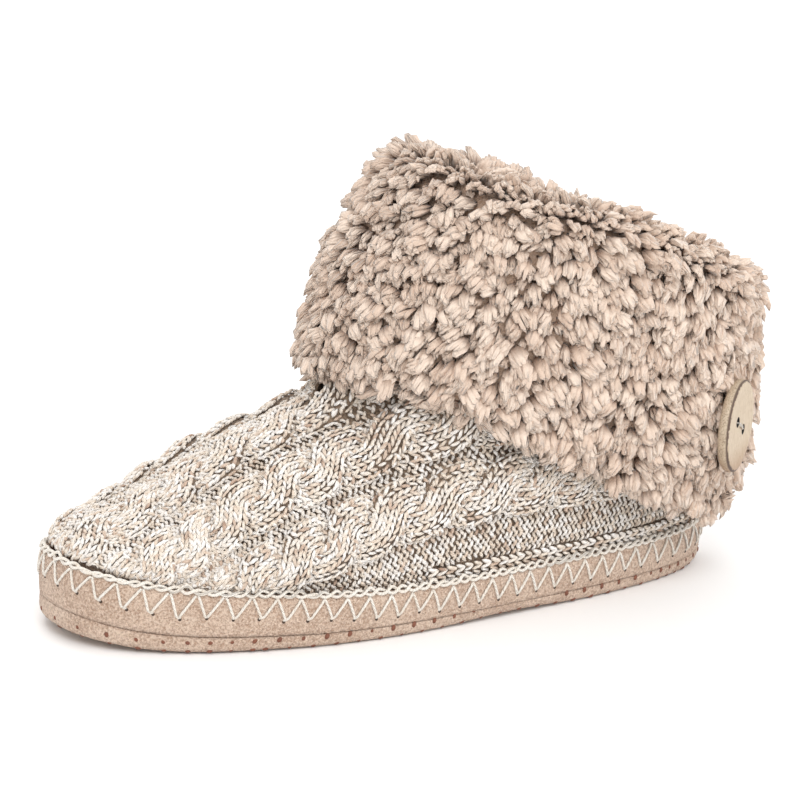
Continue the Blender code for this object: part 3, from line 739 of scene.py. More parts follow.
yarn = yarn_material("marled_yarn", (
    (0.20, (0.38, 0.24, 0.17, 1)), (0.38, (0.64, 0.48, 0.37, 1)),
    (0.58, (0.83, 0.72, 0.60, 1)), (0.85, (0.95, 0.905, 0.86, 1))), 2.0)
stitch_tree = placing_tree("stitch_placing", yarn)
leg = leg_shape("yarn_leg")
ropes = shown_legs(rope_legs())
purls = shown_legs(purl_legs())
for hand in (1, -1):
    to_band = wale_limits(purls[:, 0], hand)[1] - purls[:, 1] * hand
    under = (purls[:, 1] * hand > 0) & (purls[:, 0] > CHAIN_START) & (to_band < CHAIN_BAND)
    purls = purls[~under]
chains = shown_legs(chain_legs())
cuff_tree = surface_of(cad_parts["cuff"].data)


def clear_of_cuff(legs):
    """Leaves out the legs that the cuff hides for good, well above its hem."""
    place, out, _, _ = on_knit(legs[:, 0], legs[:, 1])
    kept = []
    for spot, way in zip(place, out):
        spot, way = Vector(spot), Vector(way)
        hidden = all(cuff_tree.ray_cast(spot + Vector(aside), way, CUFF_COVER)[0] for aside in (
            (0, 0, 0), (0, 0, -HEM_MARGIN), (0, 0, -HEM_MARGIN * 0.5), (HEM_MARGIN, 0, 0),
            (HEM_MARGIN, 0, -HEM_MARGIN)))
        kept.append(spot.x > THROAT_KEPT or not hidden)
    return legs[np.array(kept)]


for name, legs, length, width, tone, seed in (
        ("cable_stitches_outer", ropes[ropes[:, 1] >= 0], LEG_LENGTH, LEG_WIDTH, CABLE_TONE, 1),
        ("cable_stitches_inner", ropes[ropes[:, 1] < 0], LEG_LENGTH, LEG_WIDTH, CABLE_TONE, 2),
        ("purl_stitches_outer", purls[purls[:, 1] >= 0], PURL_LENGTH, LEG_WIDTH, PURL_TONE, 3),
        ("purl_stitches_inner", purls[purls[:, 1] < 0], PURL_LENGTH, LEG_WIDTH, PURL_TONE, 4),
        ("bound_edge_stitches", chains, CHAIN_LENGTH, CHAIN_WIDTH, PURL_TONE, 8)):
    legs = clear_of_cuff(legs)
    place, way, face, size = laid_on_knit(legs, length, width)
    tones = np.clip(draw.normal(tone, TONE_STRAY, len(legs)), 0, TONE_MOST)
    piece = set_on_points(name, stitch_tree, leg, place, way, face, size, tones, seed)
    settle_in(piece, "upper", yarn)

# The ground of the knit: the same fabric under its stitches, coloured in painted shade so that
# the gaps between the wales show dark. It is one sheet, open at the throat and sewn in under the
# band's edge.
GROUND_SINK, GROUND_WALL, OPEN_GAP = 0.0007, 0.0010, 0.004
ground_run = np.arange(0, RUN_END + 0.001, 0.0020)
ground_share = np.linspace(0, 1, 58)


def ground_rows():
    """The knit's ground: rows of points from band to band."""
    rows = []
    for run in ground_run:
        line = []
        for hand in (-1, 1):
            low, high = wale_limits(run, hand)
            wale = hand * (low + (high - low) * ground_share)
            if hand < 0:
                wale = wale[::-1]
            spot = np.full(len(wale), run)
            place, out, _, _ = on_knit(spot, np.where(wale == 0, 1e-6 * hand, wale))
            height = (relief(spot, wale)[0] - GROUND_SINK - KNIT_SINK) * fade_at_band(spot, wale)
            line.append(place + out * (height[:, None] - GROUND_WALL / 4))
        rows.append(np.concatenate(line))
    rows[-1][:len(ground_share)] = rows[-1][len(ground_share):][::-1]
    return np.array(rows)


def sheet_of(name, rows, wall):
    """A closed sheet of some thickness from rows of points, split where the throat is open."""
    columns = rows.shape[1]
    middle = columns // 2 - 1
    parted = np.linalg.norm(rows[:, middle] - rows[:, middle + 1], axis=1) > OPEN_GAP
    faces = []
    for i in range(len(rows) - 1):
        for j in range(columns - 1):
            if j == middle and (parted[i] or parted[i + 1]):
                continue
            a = i * columns + j
            faces.append((a, a + 1, a + columns + 1, a + columns))
    mesh = plain_mesh(name, [tuple(p) for p in rows.reshape(-1, 3)], faces)
    with reshaping(mesh) as shape:
        bmesh.ops.remove_doubles(shape, verts=shape.verts, dist=2e-5)
    return thickened(new_piece(name, mesh), wall)


def thickened(made, wall):
    """Gives a sheet its wall, on its inner side."""
    thick = made.modifiers.new("wall", "SOLIDIFY")
    thick.thickness, thick.offset = wall, -1.0
    return settle(made)


ground = sheet_of("knit_ground", ground_rows(), GROUND_WALL)
# The ground's nap colours are painted shade, seen only in the gaps between the stitches.
settle_in(ground, "upper",
          nap_material("knit_ground", KNIT_SHADE, KNIT_DEEP_SHADE, 0.3, 0.6, 0.0009))
bpy.data.objects.remove(skin)

# The cuff: a wide turned-down collar of curly sherpa pile, sewn at the throat and folded over
# the ankle. Its free end laps round the back and is held by the button; pile lines it inside.
PILE_LIGHT, PILE_MID = (0.79, 0.645, 0.535, 1), (0.63, 0.465, 0.36, 1)
# This pair colours the backing and the curl roots: painted shade where they show between the curls.
PAINTED_BACKING_SHADE, PAINTED_PILE_GAP_SHADE = (0.42, 0.27, 0.18, 1), (0.20, 0.095, 0.05, 1)
LOCK_LENGTH, LOCK_WIDTH, LOCK_SPACING = 0.0080, 0.0052, 0.0025
LOCK_KINDS, LOCK_STRANDS, LOCK_SIDES = 10, 4, 4
LOCK_RINGS = ((0.22, 0.70), (0.55, 1.0), (0.88, 0.84))
LOCK_SPREAD, LOCK_LIFT, STRAND_THICK = 0.33, 0.32, 0.195
BACKING_SINK = 0.0017
COMB_LIFT_LOW, COMB_LIFT_HIGH, COMB_CROWN, COMB_ROLL = 0.20, 0.58, 0.30, 0.45
CRINKLE, CRINKLE_SIZE = 0.0016, 0.0016
COMB_DROP, COMB_OUT, COMB_SWIRL, COMB_STRAY = 1.0, 1.1, 0.45, 0.62
CUFF_SEED, ROLL_SEED, TONE_SEED, CURL_GROWTH = 23, 17, 5, (0.7, 1.40)
LINING_SPARSE, LINING_GROWN, CROWN_CLOSE, CROWN_FACING = 2.10, 1.35, 0.88, 0.30
COLLAR_X, COLLAR_Z = (-0.0337, 0.0836), (0.092, 0.142)
CROWN_RISE, CROWN_DEPTH = 0.0085, 0.036
HEEL_PULL, HEEL_PULL_FROM, HEEL_PULL_LOW = 0.0058, -0.012, 0.4
FRONT_PULL, FRONT_PULL_FROM, PULL_REACH = 0.0028, 0.06, 0.02
CROWN_X, CROWN_SHARE = (-0.040, -0.015, 0.030, 0.070), (0.9, 1.0, 1.0, 0.0)
THROAT_END, LINING_FROM, CUFF_MIDDLE = 0.06, 0.075, 0.045


def lock_shape(name, seed):
    """One curl of pile: fat strands side by side, spread like a shell, with a ruffled blunt end."""
    pick = random.Random(seed)
    bend, sway = pick.uniform(0.45, 1.0), pick.uniform(-0.30, 0.30)
    points, faces, fibre = [], [], []
    half = (LOCK_STRANDS - 1) / 2
    for strand in range(LOCK_STRANDS):
        side = (strand - half) / half + pick.uniform(-0.14, 0.14)
        reach = pick.uniform(0.82, 1.08) * (1 - 0.15 * side * side)
        rise = pick.uniform(-0.04, 0.10) - 0.14 * side * side
        turned = pick.uniform(0.0, 0.22) * side
        first = len(points)
        for share, fat in ((0.0, 0.0),) + LOCK_RINGS + ((1.0, 0.0),):
            part = share * reach
            spread = LOCK_SPREAD * side * sin(pi * (0.08 + 0.55 * part))
            middle = Vector((
                part, sway * part ** 2 + spread - turned * part ** 3,
                LOCK_LIFT * sin(pi * 0.62 * part) + rise * sin(pi * part) - bend * 0.4 * part ** 3))
            if fat == 0.0:
                points.append(tuple(middle))
                fibre.append((share, (strand + 0.5) / LOCK_STRANDS, 0.0))
                continue
            for k in range(LOCK_SIDES):
                way = 2 * pi * (k + 0.5) / LOCK_SIDES
                points.append((middle.x, middle.y + STRAND_THICK * fat * cos(way),
                               middle.z + STRAND_THICK * fat * sin(way)))
                fibre.append((share, (strand + k / LOCK_SIDES) / LOCK_STRANDS, 0.0))
        faces += tube_faces(first, len(points) - 1, LOCK_SIDES)
    mesh = plain_mesh(name, points, faces)
    store(mesh, "fibre", np.array(fibre))
    mesh.shade_smooth()
    return new_piece(name, mesh)


def pile_tree(name, material, curls):
    """A geometry tree that sows curls over a backing, combed along its "comb" attribute."""
    tree, given = start_tree(name, "Pile", {
        "Backing": "Geometry", "Curl length": "Float", "Curl width": "Float", "Spacing": "Float",
        "Stray": "Float", "Seed": "Int"})
    seed = given["Seed"]
    sown = add_node(tree, "GeometryNodeDistributePointsOnFaces", {
        "Mesh": given["Backing"], "Distance Min": given["Spacing"], "Density Max": 4.0e5,
        "Seed": seed}, distribute_method="POISSON").outputs
    stray = chance(tree, (-1, -1, -1), (1, 1, 1), seed, "FLOAT_VECTOR")
    way = reckon_way(tree, "ADD", stored_way(tree, "comb"),
                     reckon_way(tree, "SCALE", stray, given["Stray"]))
    lying = reckon_way(tree, "SUBTRACT", way, reckon_way(tree, "PROJECT", way, sown["Normal"]))
    facing = add_node(tree, "ShaderNodeSeparateXYZ", {0: sown["Normal"]}).outputs["Z"]
    height = reckon(tree, "MULTIPLY_ADD", reckon(tree, "MAXIMUM", facing, 0.0), COMB_CROWN,
                    chance(tree, COMB_LIFT_LOW, COMB_LIFT_HIGH, seed))
    combed = reckon_way(tree, "ADD", reckon_way(tree, "NORMALIZE", lying),
                        reckon_way(tree, "SCALE", sown["Normal"], height))
    roll = chance(tree, (-COMB_ROLL, 0, 0), (COMB_ROLL, 0, 0), ROLL_SEED, "FLOAT_VECTOR")
    grow = chance(tree, *CURL_GROWTH, seed)
    width, length = (reckon(tree, "MULTIPLY", grow, given[key])
                     for key in ("Curl width", "Curl length"))
    size = add_node(tree, "ShaderNodeCombineXYZ", {"X": length, "Y": width, "Z": width})
    kinds = add_node(tree, "GeometryNodeGeometryToInstance")
    for curl in curls:
        shape = add_node(tree, "GeometryNodeObjectInfo", {"Object": curl})
        tree.links.new(shape.outputs["Geometry"], kinds.inputs[0])
    placed = add_node(tree, "GeometryNodeInstanceOnPoints", {
        "Points": sown["Points"], "Instance": kinds.outputs[0], "Pick Instance": True,
        "Instance Index": chance(tree, 0, len(curls) - 1, seed, "INT"),
        "Rotation": turned_to(tree, "XZ", combed, sown["Normal"], roll), "Scale": size.outputs[0]})
    toned = add_node(tree, "GeometryNodeStoreNamedAttribute", {
        "Geometry": placed.outputs[0], "Name": "tone", "Value": chance(tree, 0.0, 1.0, TONE_SEED)},
        data_type="FLOAT", domain="INSTANCE")
    real = add_node(tree, "GeometryNodeRealizeInstances", {"Geometry": toned.outputs[0]})
    crimp = add_node(tree, "ShaderNodeTexNoise", {
        "Vector": add_node(tree, "GeometryNodeInputPosition").outputs[0],
        "Scale": 1 / CRINKLE_SIZE, "Detail": 1.0})
    centred = reckon_way(tree, "SUBTRACT", crimp.outputs["Color"], (0.5, 0.5, 0.5))
    crimped = add_node(tree, "GeometryNodeSetPosition", {
        "Geometry": real.outputs[0], "Offset": reckon_way(tree, "SCALE", centred, CRINKLE * 2)})
    return end_tree(tree, crimped.outputs[0], material)


def pile_material(name, light, mid, gap_shade):
    """Sherpa pile: pale curl tips, darker roots as painted shade in the gaps, and fine strands
    along every curl.
    """
    made, tree, surface = new_material(name)
    place = add_node(tree, "ShaderNodeTexCoord").outputs["Object"]
    fibre = stored_value(tree, "fibre", "Vector")
    split = add_node(tree, "ShaderNodeSeparateXYZ", {0: fibre}).outputs
    strands = noise_at(tree, place, 1400.0, 2.0)
    fleck = reckon(tree, "MULTIPLY_ADD", strands, 0.9, stored_value(tree, "tone"))
    body = blend(tree, span(tree, fleck, 0.2, 1.3), mid, light)
    around = reckon(tree, "MULTIPLY", split["Y"], 2 * pi * 12)
    ridges = reckon(tree, "SINE", reckon(tree, "MULTIPLY_ADD", split["X"], 5.0, around))
    # The colour runs from painted shade at each curl's root to the curl's own colour towards its
    # tip.
    finish_surface(tree, surface, blend(tree, span(tree, split["X"], 0.05, 0.6), gap_shade, body),
                   reckon(tree, "MULTIPLY_ADD", strands, 1.5, ridges), 0.7, 0.0004, Roughness=0.9,
                   Specular_IOR_Level=0.2, Sheen_Weight=0.35, Sheen_Roughness=0.5)
    return made


pile = pile_material("sherpa_pile", PILE_LIGHT, PILE_MID, PAINTED_PILE_GAP_SHADE)
curls = [lock_shape("curl_%d" % k, CUFF_SEED + k) for k in range(LOCK_KINDS)]
curl_tree = pile_tree("pile_sowing", pile, curls)
backing = smooth_copy("cuff_backing", "cuff", 1)
with reshaping(backing.data) as shape:
    for _ in range(6):
        bmesh.ops.smooth_vert(shape, verts=shape.verts, factor=0.5,
                              use_axis_x=True, use_axis_y=True, use_axis_z=True)
points, normals = corners_of(backing.data)
sunk = points - normals * BACKING_SINK
rim_height = np.interp(points[:, 0], COLLAR_X, COLLAR_Z)
near_rim = np.clip((points[:, 2] - rim_height) / CROWN_DEPTH + 1, 0, 1)
crown_share = np.interp(points[:, 0], CROWN_X, CROWN_SHARE)
sunk[:, 2] += CROWN_RISE * near_rim ** 2 * (3 - 2 * near_rim) * crown_share
sunk[:, 0] += HEEL_PULL * np.clip((HEEL_PULL_FROM - points[:, 0]) / PULL_REACH, 0, 1) * (
    HEEL_PULL_LOW + (1 - HEEL_PULL_LOW) * near_rim)
sunk[:, 0] -= FRONT_PULL * np.clip((points[:, 0] - FRONT_PULL_FROM) / PULL_REACH, 0, 1) * near_rim
move_corners(backing.data, sunk)
points, normals = corners_of(backing.data)
fall = np.array([0.0, 0.0, -1.0]) + normals * normals[:, 2:3]
swirl = np.stack([np.sin(points[:, 0] * 95 + points[:, 2] * 60), np.sin(points[:, 1] * 110 + 1.3),
                  np.cos(points[:, 0] * 80 - points[:, 2] * 120) * 0.6], axis=1)
outward = points * [1.0, 1.0, 0.0]
outward[:, 0] -= np.clip(points[:, 0], 0, THROAT_END)
outward /= np.linalg.norm(outward, axis=1, keepdims=True)
crest = np.clip(normals[:, 2:3] * 1.6, 0, 1)
comb = fall * COMB_DROP * (1 - crest * 0.6) + outward * crest * COMB_OUT + swirl * COMB_SWIRL
comb /= np.linalg.norm(comb, axis=1, keepdims=True)
store(backing.data, "comb", comb)


def cuff_zone(face):
    """Which piece of the pile a face of the backing belongs to."""
    middle = face.calc_center_median()
    spine = Vector((min(max(middle.x, 0.0), THROAT_END), 0, middle.z))
    outward = (middle - spine).normalized().dot(face.normal)
    if outward < -0.65:
        return "lining" if middle.z > LINING_FROM else "hidden"
    if face.normal.z > CROWN_FACING:
        return "crown"
    hand = "outer" if middle.y > 0 else "inner"
    return ("front_" if middle.x > CUFF_MIDDLE else "back_") + hand


for k, (zone, grown, sparse) in enumerate((
        ("front_outer", 1, 1), ("front_inner", 1, 1), ("back_outer", 1, 1), ("back_inner", 1, 1),
        ("lining", LINING_GROWN, LINING_SPARSE), ("crown", 1, CROWN_CLOSE))):
    mesh = bpy.data.meshes.new("cuff_pile_" + zone)
    with reshaping(backing.data, mesh) as shape:
        bmesh.ops.delete(
            shape, geom=[f for f in shape.faces if cuff_zone(f) != zone], context="FACES")
    part = run_tree(new_piece("cuff_pile_" + zone, mesh), curl_tree, {
        "Curl length": LOCK_LENGTH * grown, "Curl width": LOCK_WIDTH * grown,
        "Spacing": LOCK_SPACING * sparse, "Stray": COMB_STRAY, "Seed": CUFF_SEED + k})
    settle_in(part, "cuff", pile)
# The backing is coloured darker than the curls: painted shade where it shows between them.
backing_shade_paint = nap_material("pile_backing", PILE_MID, PAINTED_BACKING_SHADE, 0.5, 1.0, 0.0012)
settle_in(backing, "cuff", backing_shade_paint)
for curl in curls:
    bpy.data.objects.remove(curl)


# The edge seam: a thick cream yarn is braided along the band's top edge and stitched down
# through the suedette in a long row of slanting V stitches, each through its own needle hole.
SOLE_BACK, SOLE_FRONT, SOLE_TURN = Vector((0.0, 0, 0)), Vector((0.165, 0, 0)), 0.042
SEAM_STATIONS, RIM_INSET, RIM_STEP, ABOVE = 640, 0.0010, 0.0004, 0.08
SEAM_PROBES, OUTSIDE, UP = (0.0112, 0.0165, 0.0210), 0.2, Vector((0, 0, 1))
BRAID_LINK, BRAID_YARN, BRAID_SWING, BRAID_RISE = 0.0084, 0.00056, 0.00105, 0.0004
BRAID_SLACK, BRAID_SLACK_SIZE, BRAID_STAND, LINK_STEPS = 0.0008, 0.006, 0.0006, 16
STITCH_DROP, STITCH_STRAY, STITCH_YARN, STITCH_LEAN = 0.0084, 0.0003, 0.00046, 0.74
STITCH_STEPS, STITCH_CLEAR, STITCH_LIFT, STITCH_LOW = 8, 0.004, 0.75, 0.1
SEAM_TONE, HOLE_SIZE, HOLE_DEPTH, HOLE_PROUD = 0.62, 0.00119, 0.0006, 0.00005
band_tree, outsole_tree = surface_of(band.data), surface_of(outsole.data)
straight, half_turn = (SOLE_FRONT - SOLE_BACK).length, pi * SOLE_TURN
SOLE_ROUND = 2 * (straight + half_turn)


def round_the_sole(count):
    """Stands along the sole's middle line and looks out all round it, at even steps."""
    for step in np.arange(count) / count * SOLE_ROUND:
        if step < straight:
            yield SOLE_BACK + Vector((step, 0, 0)), Vector((0, 1, 0))
        elif step < straight + half_turn:
            turn = (step - straight) / half_turn * pi
            yield SOLE_FRONT.copy(), Vector((sin(turn), cos(turn), 0))
        elif step < 2 * straight + half_turn:
            yield SOLE_FRONT - Vector((step - straight - half_turn, 0, 0)), Vector((0, -1, 0))
        else:
            turn = (step - 2 * straight - half_turn) / half_turn * pi
            yield SOLE_BACK.copy(), Vector((-sin(turn), -cos(turn), 0))


def smoothed_ring(rows, rounds=6):
    """The same closed line with its small jumps evened out."""
    for _ in range(rounds):
        rows = (np.roll(rows, 1, 0) + 2 * rows + np.roll(rows, -1, 0)) / 4
    return rows


def even_ring(rows, step):
    """The same closed line with its points at even steps, a whole number of them."""
    loop = np.concatenate([rows, rows[:1]])
    length = np.concatenate([[0], np.cumsum(np.linalg.norm(np.diff(loop[:, :3], axis=0), axis=1))])
    count = int(round(length[-1] / step))
    marks = np.arange(count) * length[-1] / count
    return np.stack([np.interp(marks, length, loop[:, i]) for i in range(rows.shape[1])], axis=1)


def outermost(tree, foot, out, probes):
    """The furthest point of a piece that is met on the way in towards the sole's middle line."""
    met = [tree.ray_cast(foot + out * OUTSIDE + Vector((0, 0, probe)), -out) for probe in probes]
    met = [hit[:2] for hit in met if hit[0] is not None]
    return max(met, key=lambda hit: (hit[0] - foot).dot(out)) if met else (None, None)


rim = []
for foot, out in round_the_sole(SEAM_STATIONS):
    face = outermost(band_tree, foot, out, SEAM_PROBES)[0]
    crest, inset = None, RIM_INSET
    while crest is None:
        inset += RIM_STEP
        edge = face - out * inset
        crest = band_tree.ray_cast(Vector((edge.x, edge.y, ABOVE)), -UP)[0]
    rim.append((edge.x, edge.y, crest.z, out.x, out.y))
rim = even_ring(smoothed_ring(np.array(rim)), BRAID_LINK / LINK_STEPS)
links = len(rim) // LINK_STEPS
rim = even_ring(
    rim, np.linalg.norm(np.diff(rim[:, :3], axis=0), axis=1).sum() / (links * LINK_STEPS))
rim_place = rim[:, :3]
rim_out = np.concatenate([rim[:, 3:5], np.zeros((len(rim), 1))], axis=1)
rim_out /= np.linalg.norm(rim_out, axis=1, keepdims=True)


def yarn_tree(name, material):
    """A geometry tree that runs round yarn of one thickness along the edges it is given."""
    tree, given = start_tree(name, "Yarn", {"Path": "Geometry", "Radius": "Float", "Sides": "Int"})
    path = add_node(tree, "GeometryNodeMeshToCurve", {"Mesh": given["Path"]})
    ring = add_node(tree, "GeometryNodeCurvePrimitiveCircle",
                    {"Resolution": given["Sides"], "Radius": given["Radius"]})
    tube = add_node(tree, "GeometryNodeCurveToMesh",
                    {"Curve": path.outputs[0], "Profile Curve": ring.outputs[0], "Fill Caps": True})
    smooth = add_node(tree, "GeometryNodeSetShadeSmooth", {"Geometry": tube.outputs[0]})
    real = add_node(tree, "GeometryNodeRealizeInstances", {"Geometry": smooth.outputs[0]})
    return end_tree(tree, real.outputs[0], material)


def run_yarn(name, lines, radius, ring, step, sides=6):
    """Yarn along one or more lines of points, closed into rings or with two ends."""
    points, edges = [], []
    for line in lines:
        first = len(points)
        points += [tuple(p) for p in line]
        edges += [(i, i + 1) for i in range(first, len(points) - 1)]
        if ring:
            edges.append((len(points) - 1, first))
    made = run_tree(new_piece(name, plain_mesh(name, points, [], edges)), cord_tree,
                    {"Radius": radius, "Sides": sides})
    index = np.arange(len(made.data.vertices))
    store(made.data, "fibre", np.stack(
        [index // sides * step, index % sides / sides, np.zeros(len(index))], axis=1))
    store(made.data, "tone", np.full(len(index), SEAM_TONE))
    return made


seam_yarn = yarn_material("cream_seam_yarn", (
    (0.45, (0.60, 0.48, 0.37, 1)), (0.75, (0.80, 0.71, 0.60, 1)),
    (1.0, (0.90, 0.85, 0.78, 1))), 3.0)
cord_tree = yarn_tree("yarn_running", seam_yarn)
phase = np.arange(len(rim)) / LINK_STEPS * 2 * pi
up = np.array([0.0, 0.0, 1.0])
slack = np.array([noise.noise(Vector(spot) / BRAID_SLACK_SIZE) for spot in rim_place])[:, None]
braid_lines = []
for strand in (0, 1):
    swing = np.cos(phase + strand * pi)[:, None] * (1 + slack)
    rise = np.sin(phase + strand * pi)[:, None]
    braid_lines.append(
        rim_place + up * (BRAID_STAND + BRAID_SWING * 0.75 * swing + BRAID_SLACK * slack)
        + rim_out * (BRAID_STAND + BRAID_RISE * rise) + rim_out * (BRAID_SWING * -0.35 * swing))
braid = run_yarn("edge_braid", braid_lines, BRAID_YARN, True, 0.16, sides=7)
settle_in(braid, "side_band", seam_yarn)

stitch_lines, hole_place, hole_out = [], [], []
for link in range(links):
    first = rim_place[link * LINK_STEPS]
    after = rim_place[(link * LINK_STEPS + LINK_STEPS) % len(rim_place)]
    low = (link * LINK_STEPS + int(LINK_STEPS * STITCH_LEAN)) % len(rim_place)
    spot, out = Vector(rim_place[low]), Vector(rim_out[low])
    spot.z -= STITCH_DROP + draw.normal(0, STITCH_STRAY, 2)[1]
    hit, face, _, _ = band_tree.ray_cast(spot + out * 0.05, -out)
    if hit is None:
        continue
    hole_place.append(hit)
    hole_out.append(face)
    for start, stop, end in ((first, hit, -1), (hit, after, 0)):
        line = []
        for share in np.linspace(0, 1, STITCH_STEPS):
            spot = Vector(start) * (1 - share) + Vector(stop) * share
            near, face, _, _ = band_tree.find_nearest(spot + out * STITCH_CLEAR)
            lift = STITCH_LIFT if 0 < share < 1 else STITCH_LOW
            line.append(near + face * (STITCH_YARN * lift))
        line[end] = hit - face * HOLE_DEPTH
        stitch_lines.append(line)
stitches = run_yarn("edge_v_stitches", stitch_lines, STITCH_YARN, False, 0.25)
settle_in(stitches, "side_band", seam_yarn)


def dome_shape(name, height, sides=9):
    """A low round dome of a few faces, for holes and dots."""
    points = [(0.0, 0.0, height)]
    for radius, z in ((0.30, height * 0.85), (0.5, 0.0), (0.5, -0.12)):
        points += [(radius * cos(2 * pi * k / sides), radius * sin(2 * pi * k / sides), z)
                   for k in range(sides)]
    faces = [(0, 1 + k, 1 + (k + 1) % sides) for k in range(sides)]
    for a in (1, 1 + sides):
        faces += [(a + k, a + sides + k, a + sides + (k + 1) % sides, a + (k + 1) % sides)
                  for k in range(sides)]
    faces.append(tuple(range(3 * sides, 2 * sides, -1)))
    mesh = plain_mesh(name, points, faces)
    mesh.shade_smooth()
    return new_piece(name, mesh)


def plain_material(name, light, dark, scale, rough):
    """A hard finish with a fine mottle and a little relief."""
    made, tree, surface = new_material(name)
    mottle = noise_at(tree, add_node(tree, "ShaderNodeTexCoord").outputs["Object"], scale, 4.0)
    finish_surface(tree, surface, blend(tree, mottle, dark, light), mottle, 0.2, 0.0003,
                   Roughness=rough)
    return made


# The needle holes are small near-black domes set on the band: painted shadow inside each hole.
hole_shadow_paint = plain_material(
    "needle_hole", (0.10, 0.06, 0.04, 1), (0.03, 0.02, 0.015, 1), 900.0, 0.9)
hole_shape = dome_shape("hole", 0.06)
hole_place, hole_out = np.array(hole_place), np.array(hole_out)
holes = set_on_points(
    "needle_holes", placing_tree("hole_placing", hole_shadow_paint), hole_shape,
    hole_place + hole_out * HOLE_PROUD, np.cross(hole_out, up), hole_out, HOLE_SIZE, 0.2, 5, 0.0)
settle_in(holes, "side_band", hole_shadow_paint)

# The grip dots: small drops of brown rubber printed on the tread in staggered rows, all over
# its underside and up round its edge.
DOT_SIZE, DOT_PITCH, DOT_LEVELS = 0.0020, 0.0082, (0.0038, 0.0006)
DOT_SHAPE, DOT_UNEVEN, DOT_SUNK, DOT_ALONG = (1.0, 0.8, 0.7), (0.65, 1.15), 0.00035, (0.3, 0.9, 0.1)
EDGE_PROBES, EDGE_INSET, BELOW = (0.0037, 0.0075, 0.0105, 0.0130), 0.004, -0.05
TREAD_X, TREAD_Y = (-0.033, 0.216), (-0.045, 0.045)
dot_paint = plain_material(
    "grip_rubber", (0.25, 0.085, 0.045, 1), (0.11, 0.04, 0.022, 1), 500.0, 0.6)
drop_shape = dome_shape("drop", 0.28)


def above_ground(tree, foot, out, height):
    """The outermost point of a piece at a height above the tread's lower face."""
    edge = outermost(outsole_tree, foot, out, EDGE_PROBES)[0]
    below = Vector((edge.x, edge.y, BELOW)) - out * EDGE_INSET
    return outermost(tree, foot, out, (outsole_tree.ray_cast(below, UP)[0].z + height,))


dots = []
around = list(round_the_sole(int(SOLE_ROUND / DOT_PITCH)))
for level, height in enumerate(DOT_LEVELS):
    for k, (foot, out) in enumerate(around):
        ahead, _ = around[(k + 1) % len(around)]
        dots.append(above_ground(outsole_tree, foot + (ahead - foot) * 0.5 * level, out, height))
for i, x in enumerate(np.arange(*TREAD_X, DOT_PITCH)):
    for y in np.arange(*TREAD_Y, DOT_PITCH):
        hit, face, _, _ = outsole_tree.ray_cast(Vector((x, y + (i % 2) * DOT_PITCH / 2, BELOW)), UP)
        if hit is not None and face.z < -0.9 and hit.z < 0.02:
            dots.append((hit, face))
dot_place, dot_out = (np.array(row) for row in zip(*(dot for dot in dots if dot[0] is not None)))
sizes = DOT_SIZE * draw.uniform(*DOT_UNEVEN, (len(dot_place), 1)) * np.array([DOT_SHAPE])
lowest = dot_place[:, 2:3] < 0.0004
dots = set_on_points(
    "grip_dots", placing_tree("dot_placing", dot_paint), drop_shape,
    dot_place - dot_out * np.where(lowest, DOT_SUNK, 0.0), np.cross(dot_out, np.array(DOT_ALONG)),
    dot_out, sizes, 0.2, 7, 0.1)
settle_in(dots, "outsole", dot_paint)

# The closing seam: a fine tan thread in short running stitches, where the band meets the tread.
# It is sewn right round the shoe, a little above the dots.
CLOSING_PITCH, CLOSING_LENGTH, CLOSING_YARN = 0.0034, 0.0021, 0.00075
CLOSING_LEVEL, CLOSING_SUNK = 0.0050, 0.00012
thread = plain_material("closing_thread", (0.62, 0.46, 0.35, 1), (0.42, 0.29, 0.21, 1), 900.0, 0.8)
seam = [above_ground(band_tree, foot, out, CLOSING_LEVEL)
        for foot, out in round_the_sole(int(SOLE_ROUND / CLOSING_PITCH))]
place, out = (np.array(row) for row in zip(*(spot for spot in seam if spot[0] is not None)))
closing = set_on_points(
    "closing_seam", placing_tree("closing_seam", thread), leg, place - out * CLOSING_SUNK,
    np.cross(out, up), out, (CLOSING_LENGTH, CLOSING_YARN, CLOSING_YARN), 0.3, 9)
settle_in(closing, "side_band", thread)
for spare in (hole_shape, drop_shape, leg):
    bpy.data.objects.remove(spare)

# The button: a slice of pale coconut wood with a darker bark rim, two holes and a cream yarn
# that ties it through the cuff's free end.
BUTTON_RADIUS, BUTTON_THICK, BUTTON_TURN, BUTTON_STEPS = 0.01625, 0.0044, radians(37), 72
BUTTON_HOLE, BUTTON_HOLE_GAP, BUTTON_HOLE_TILT = 0.00180, 0.0088, radians(-29)
BUTTON_PROFILE = (  # share of the radius, share of the thickness
    (0.0, 0.42), (0.55, 0.40), (0.74, 0.41), (0.84, 0.46), (0.93, 0.47), (0.985, 0.36),
    (1.0, 0.10), (0.99, -0.25), (0.93, -0.44), (0.80, -0.5), (0.0, -0.5))
BUTTON_BEVEL, BEVEL_ANGLE = 0.00025, radians(50)
WOOD_DARK, WOOD_LIGHT = (0.40, 0.29, 0.19, 1), (0.64, 0.54, 0.41, 1)
WOOD_PORE, WOOD_BARK = (0.30, 0.19, 0.11, 1), (0.10, 0.06, 0.04, 1)
# The second colour on the next line is painted shadow for the walls of the two holes.
WOOD_WARM, WOOD_HOLE_SHADOW = (0.50, 0.27, 0.12, 1), (0.012, 0.008, 0.006, 1)
TIE_REACH, TIE_YARN = 0.62, 0.00034
button_low, button_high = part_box("button")
button_middle = (button_low + button_high) / 2
button_out = Vector((-sin(BUTTON_TURN), cos(BUTTON_TURN), 0))
button_place = Matrix.Translation(button_middle) @ Matrix(
    (UP.cross(button_out), UP, button_out)).transposed().to_4x4()
turns = np.arange(BUTTON_STEPS) * 2 * pi / BUTTON_STEPS
waves = [1 + 0.006 * sin(3 * t + 1) + 0.004 * sin(7 * t) for t in turns]
mesh = bpy.data.meshes.new("coconut_button")
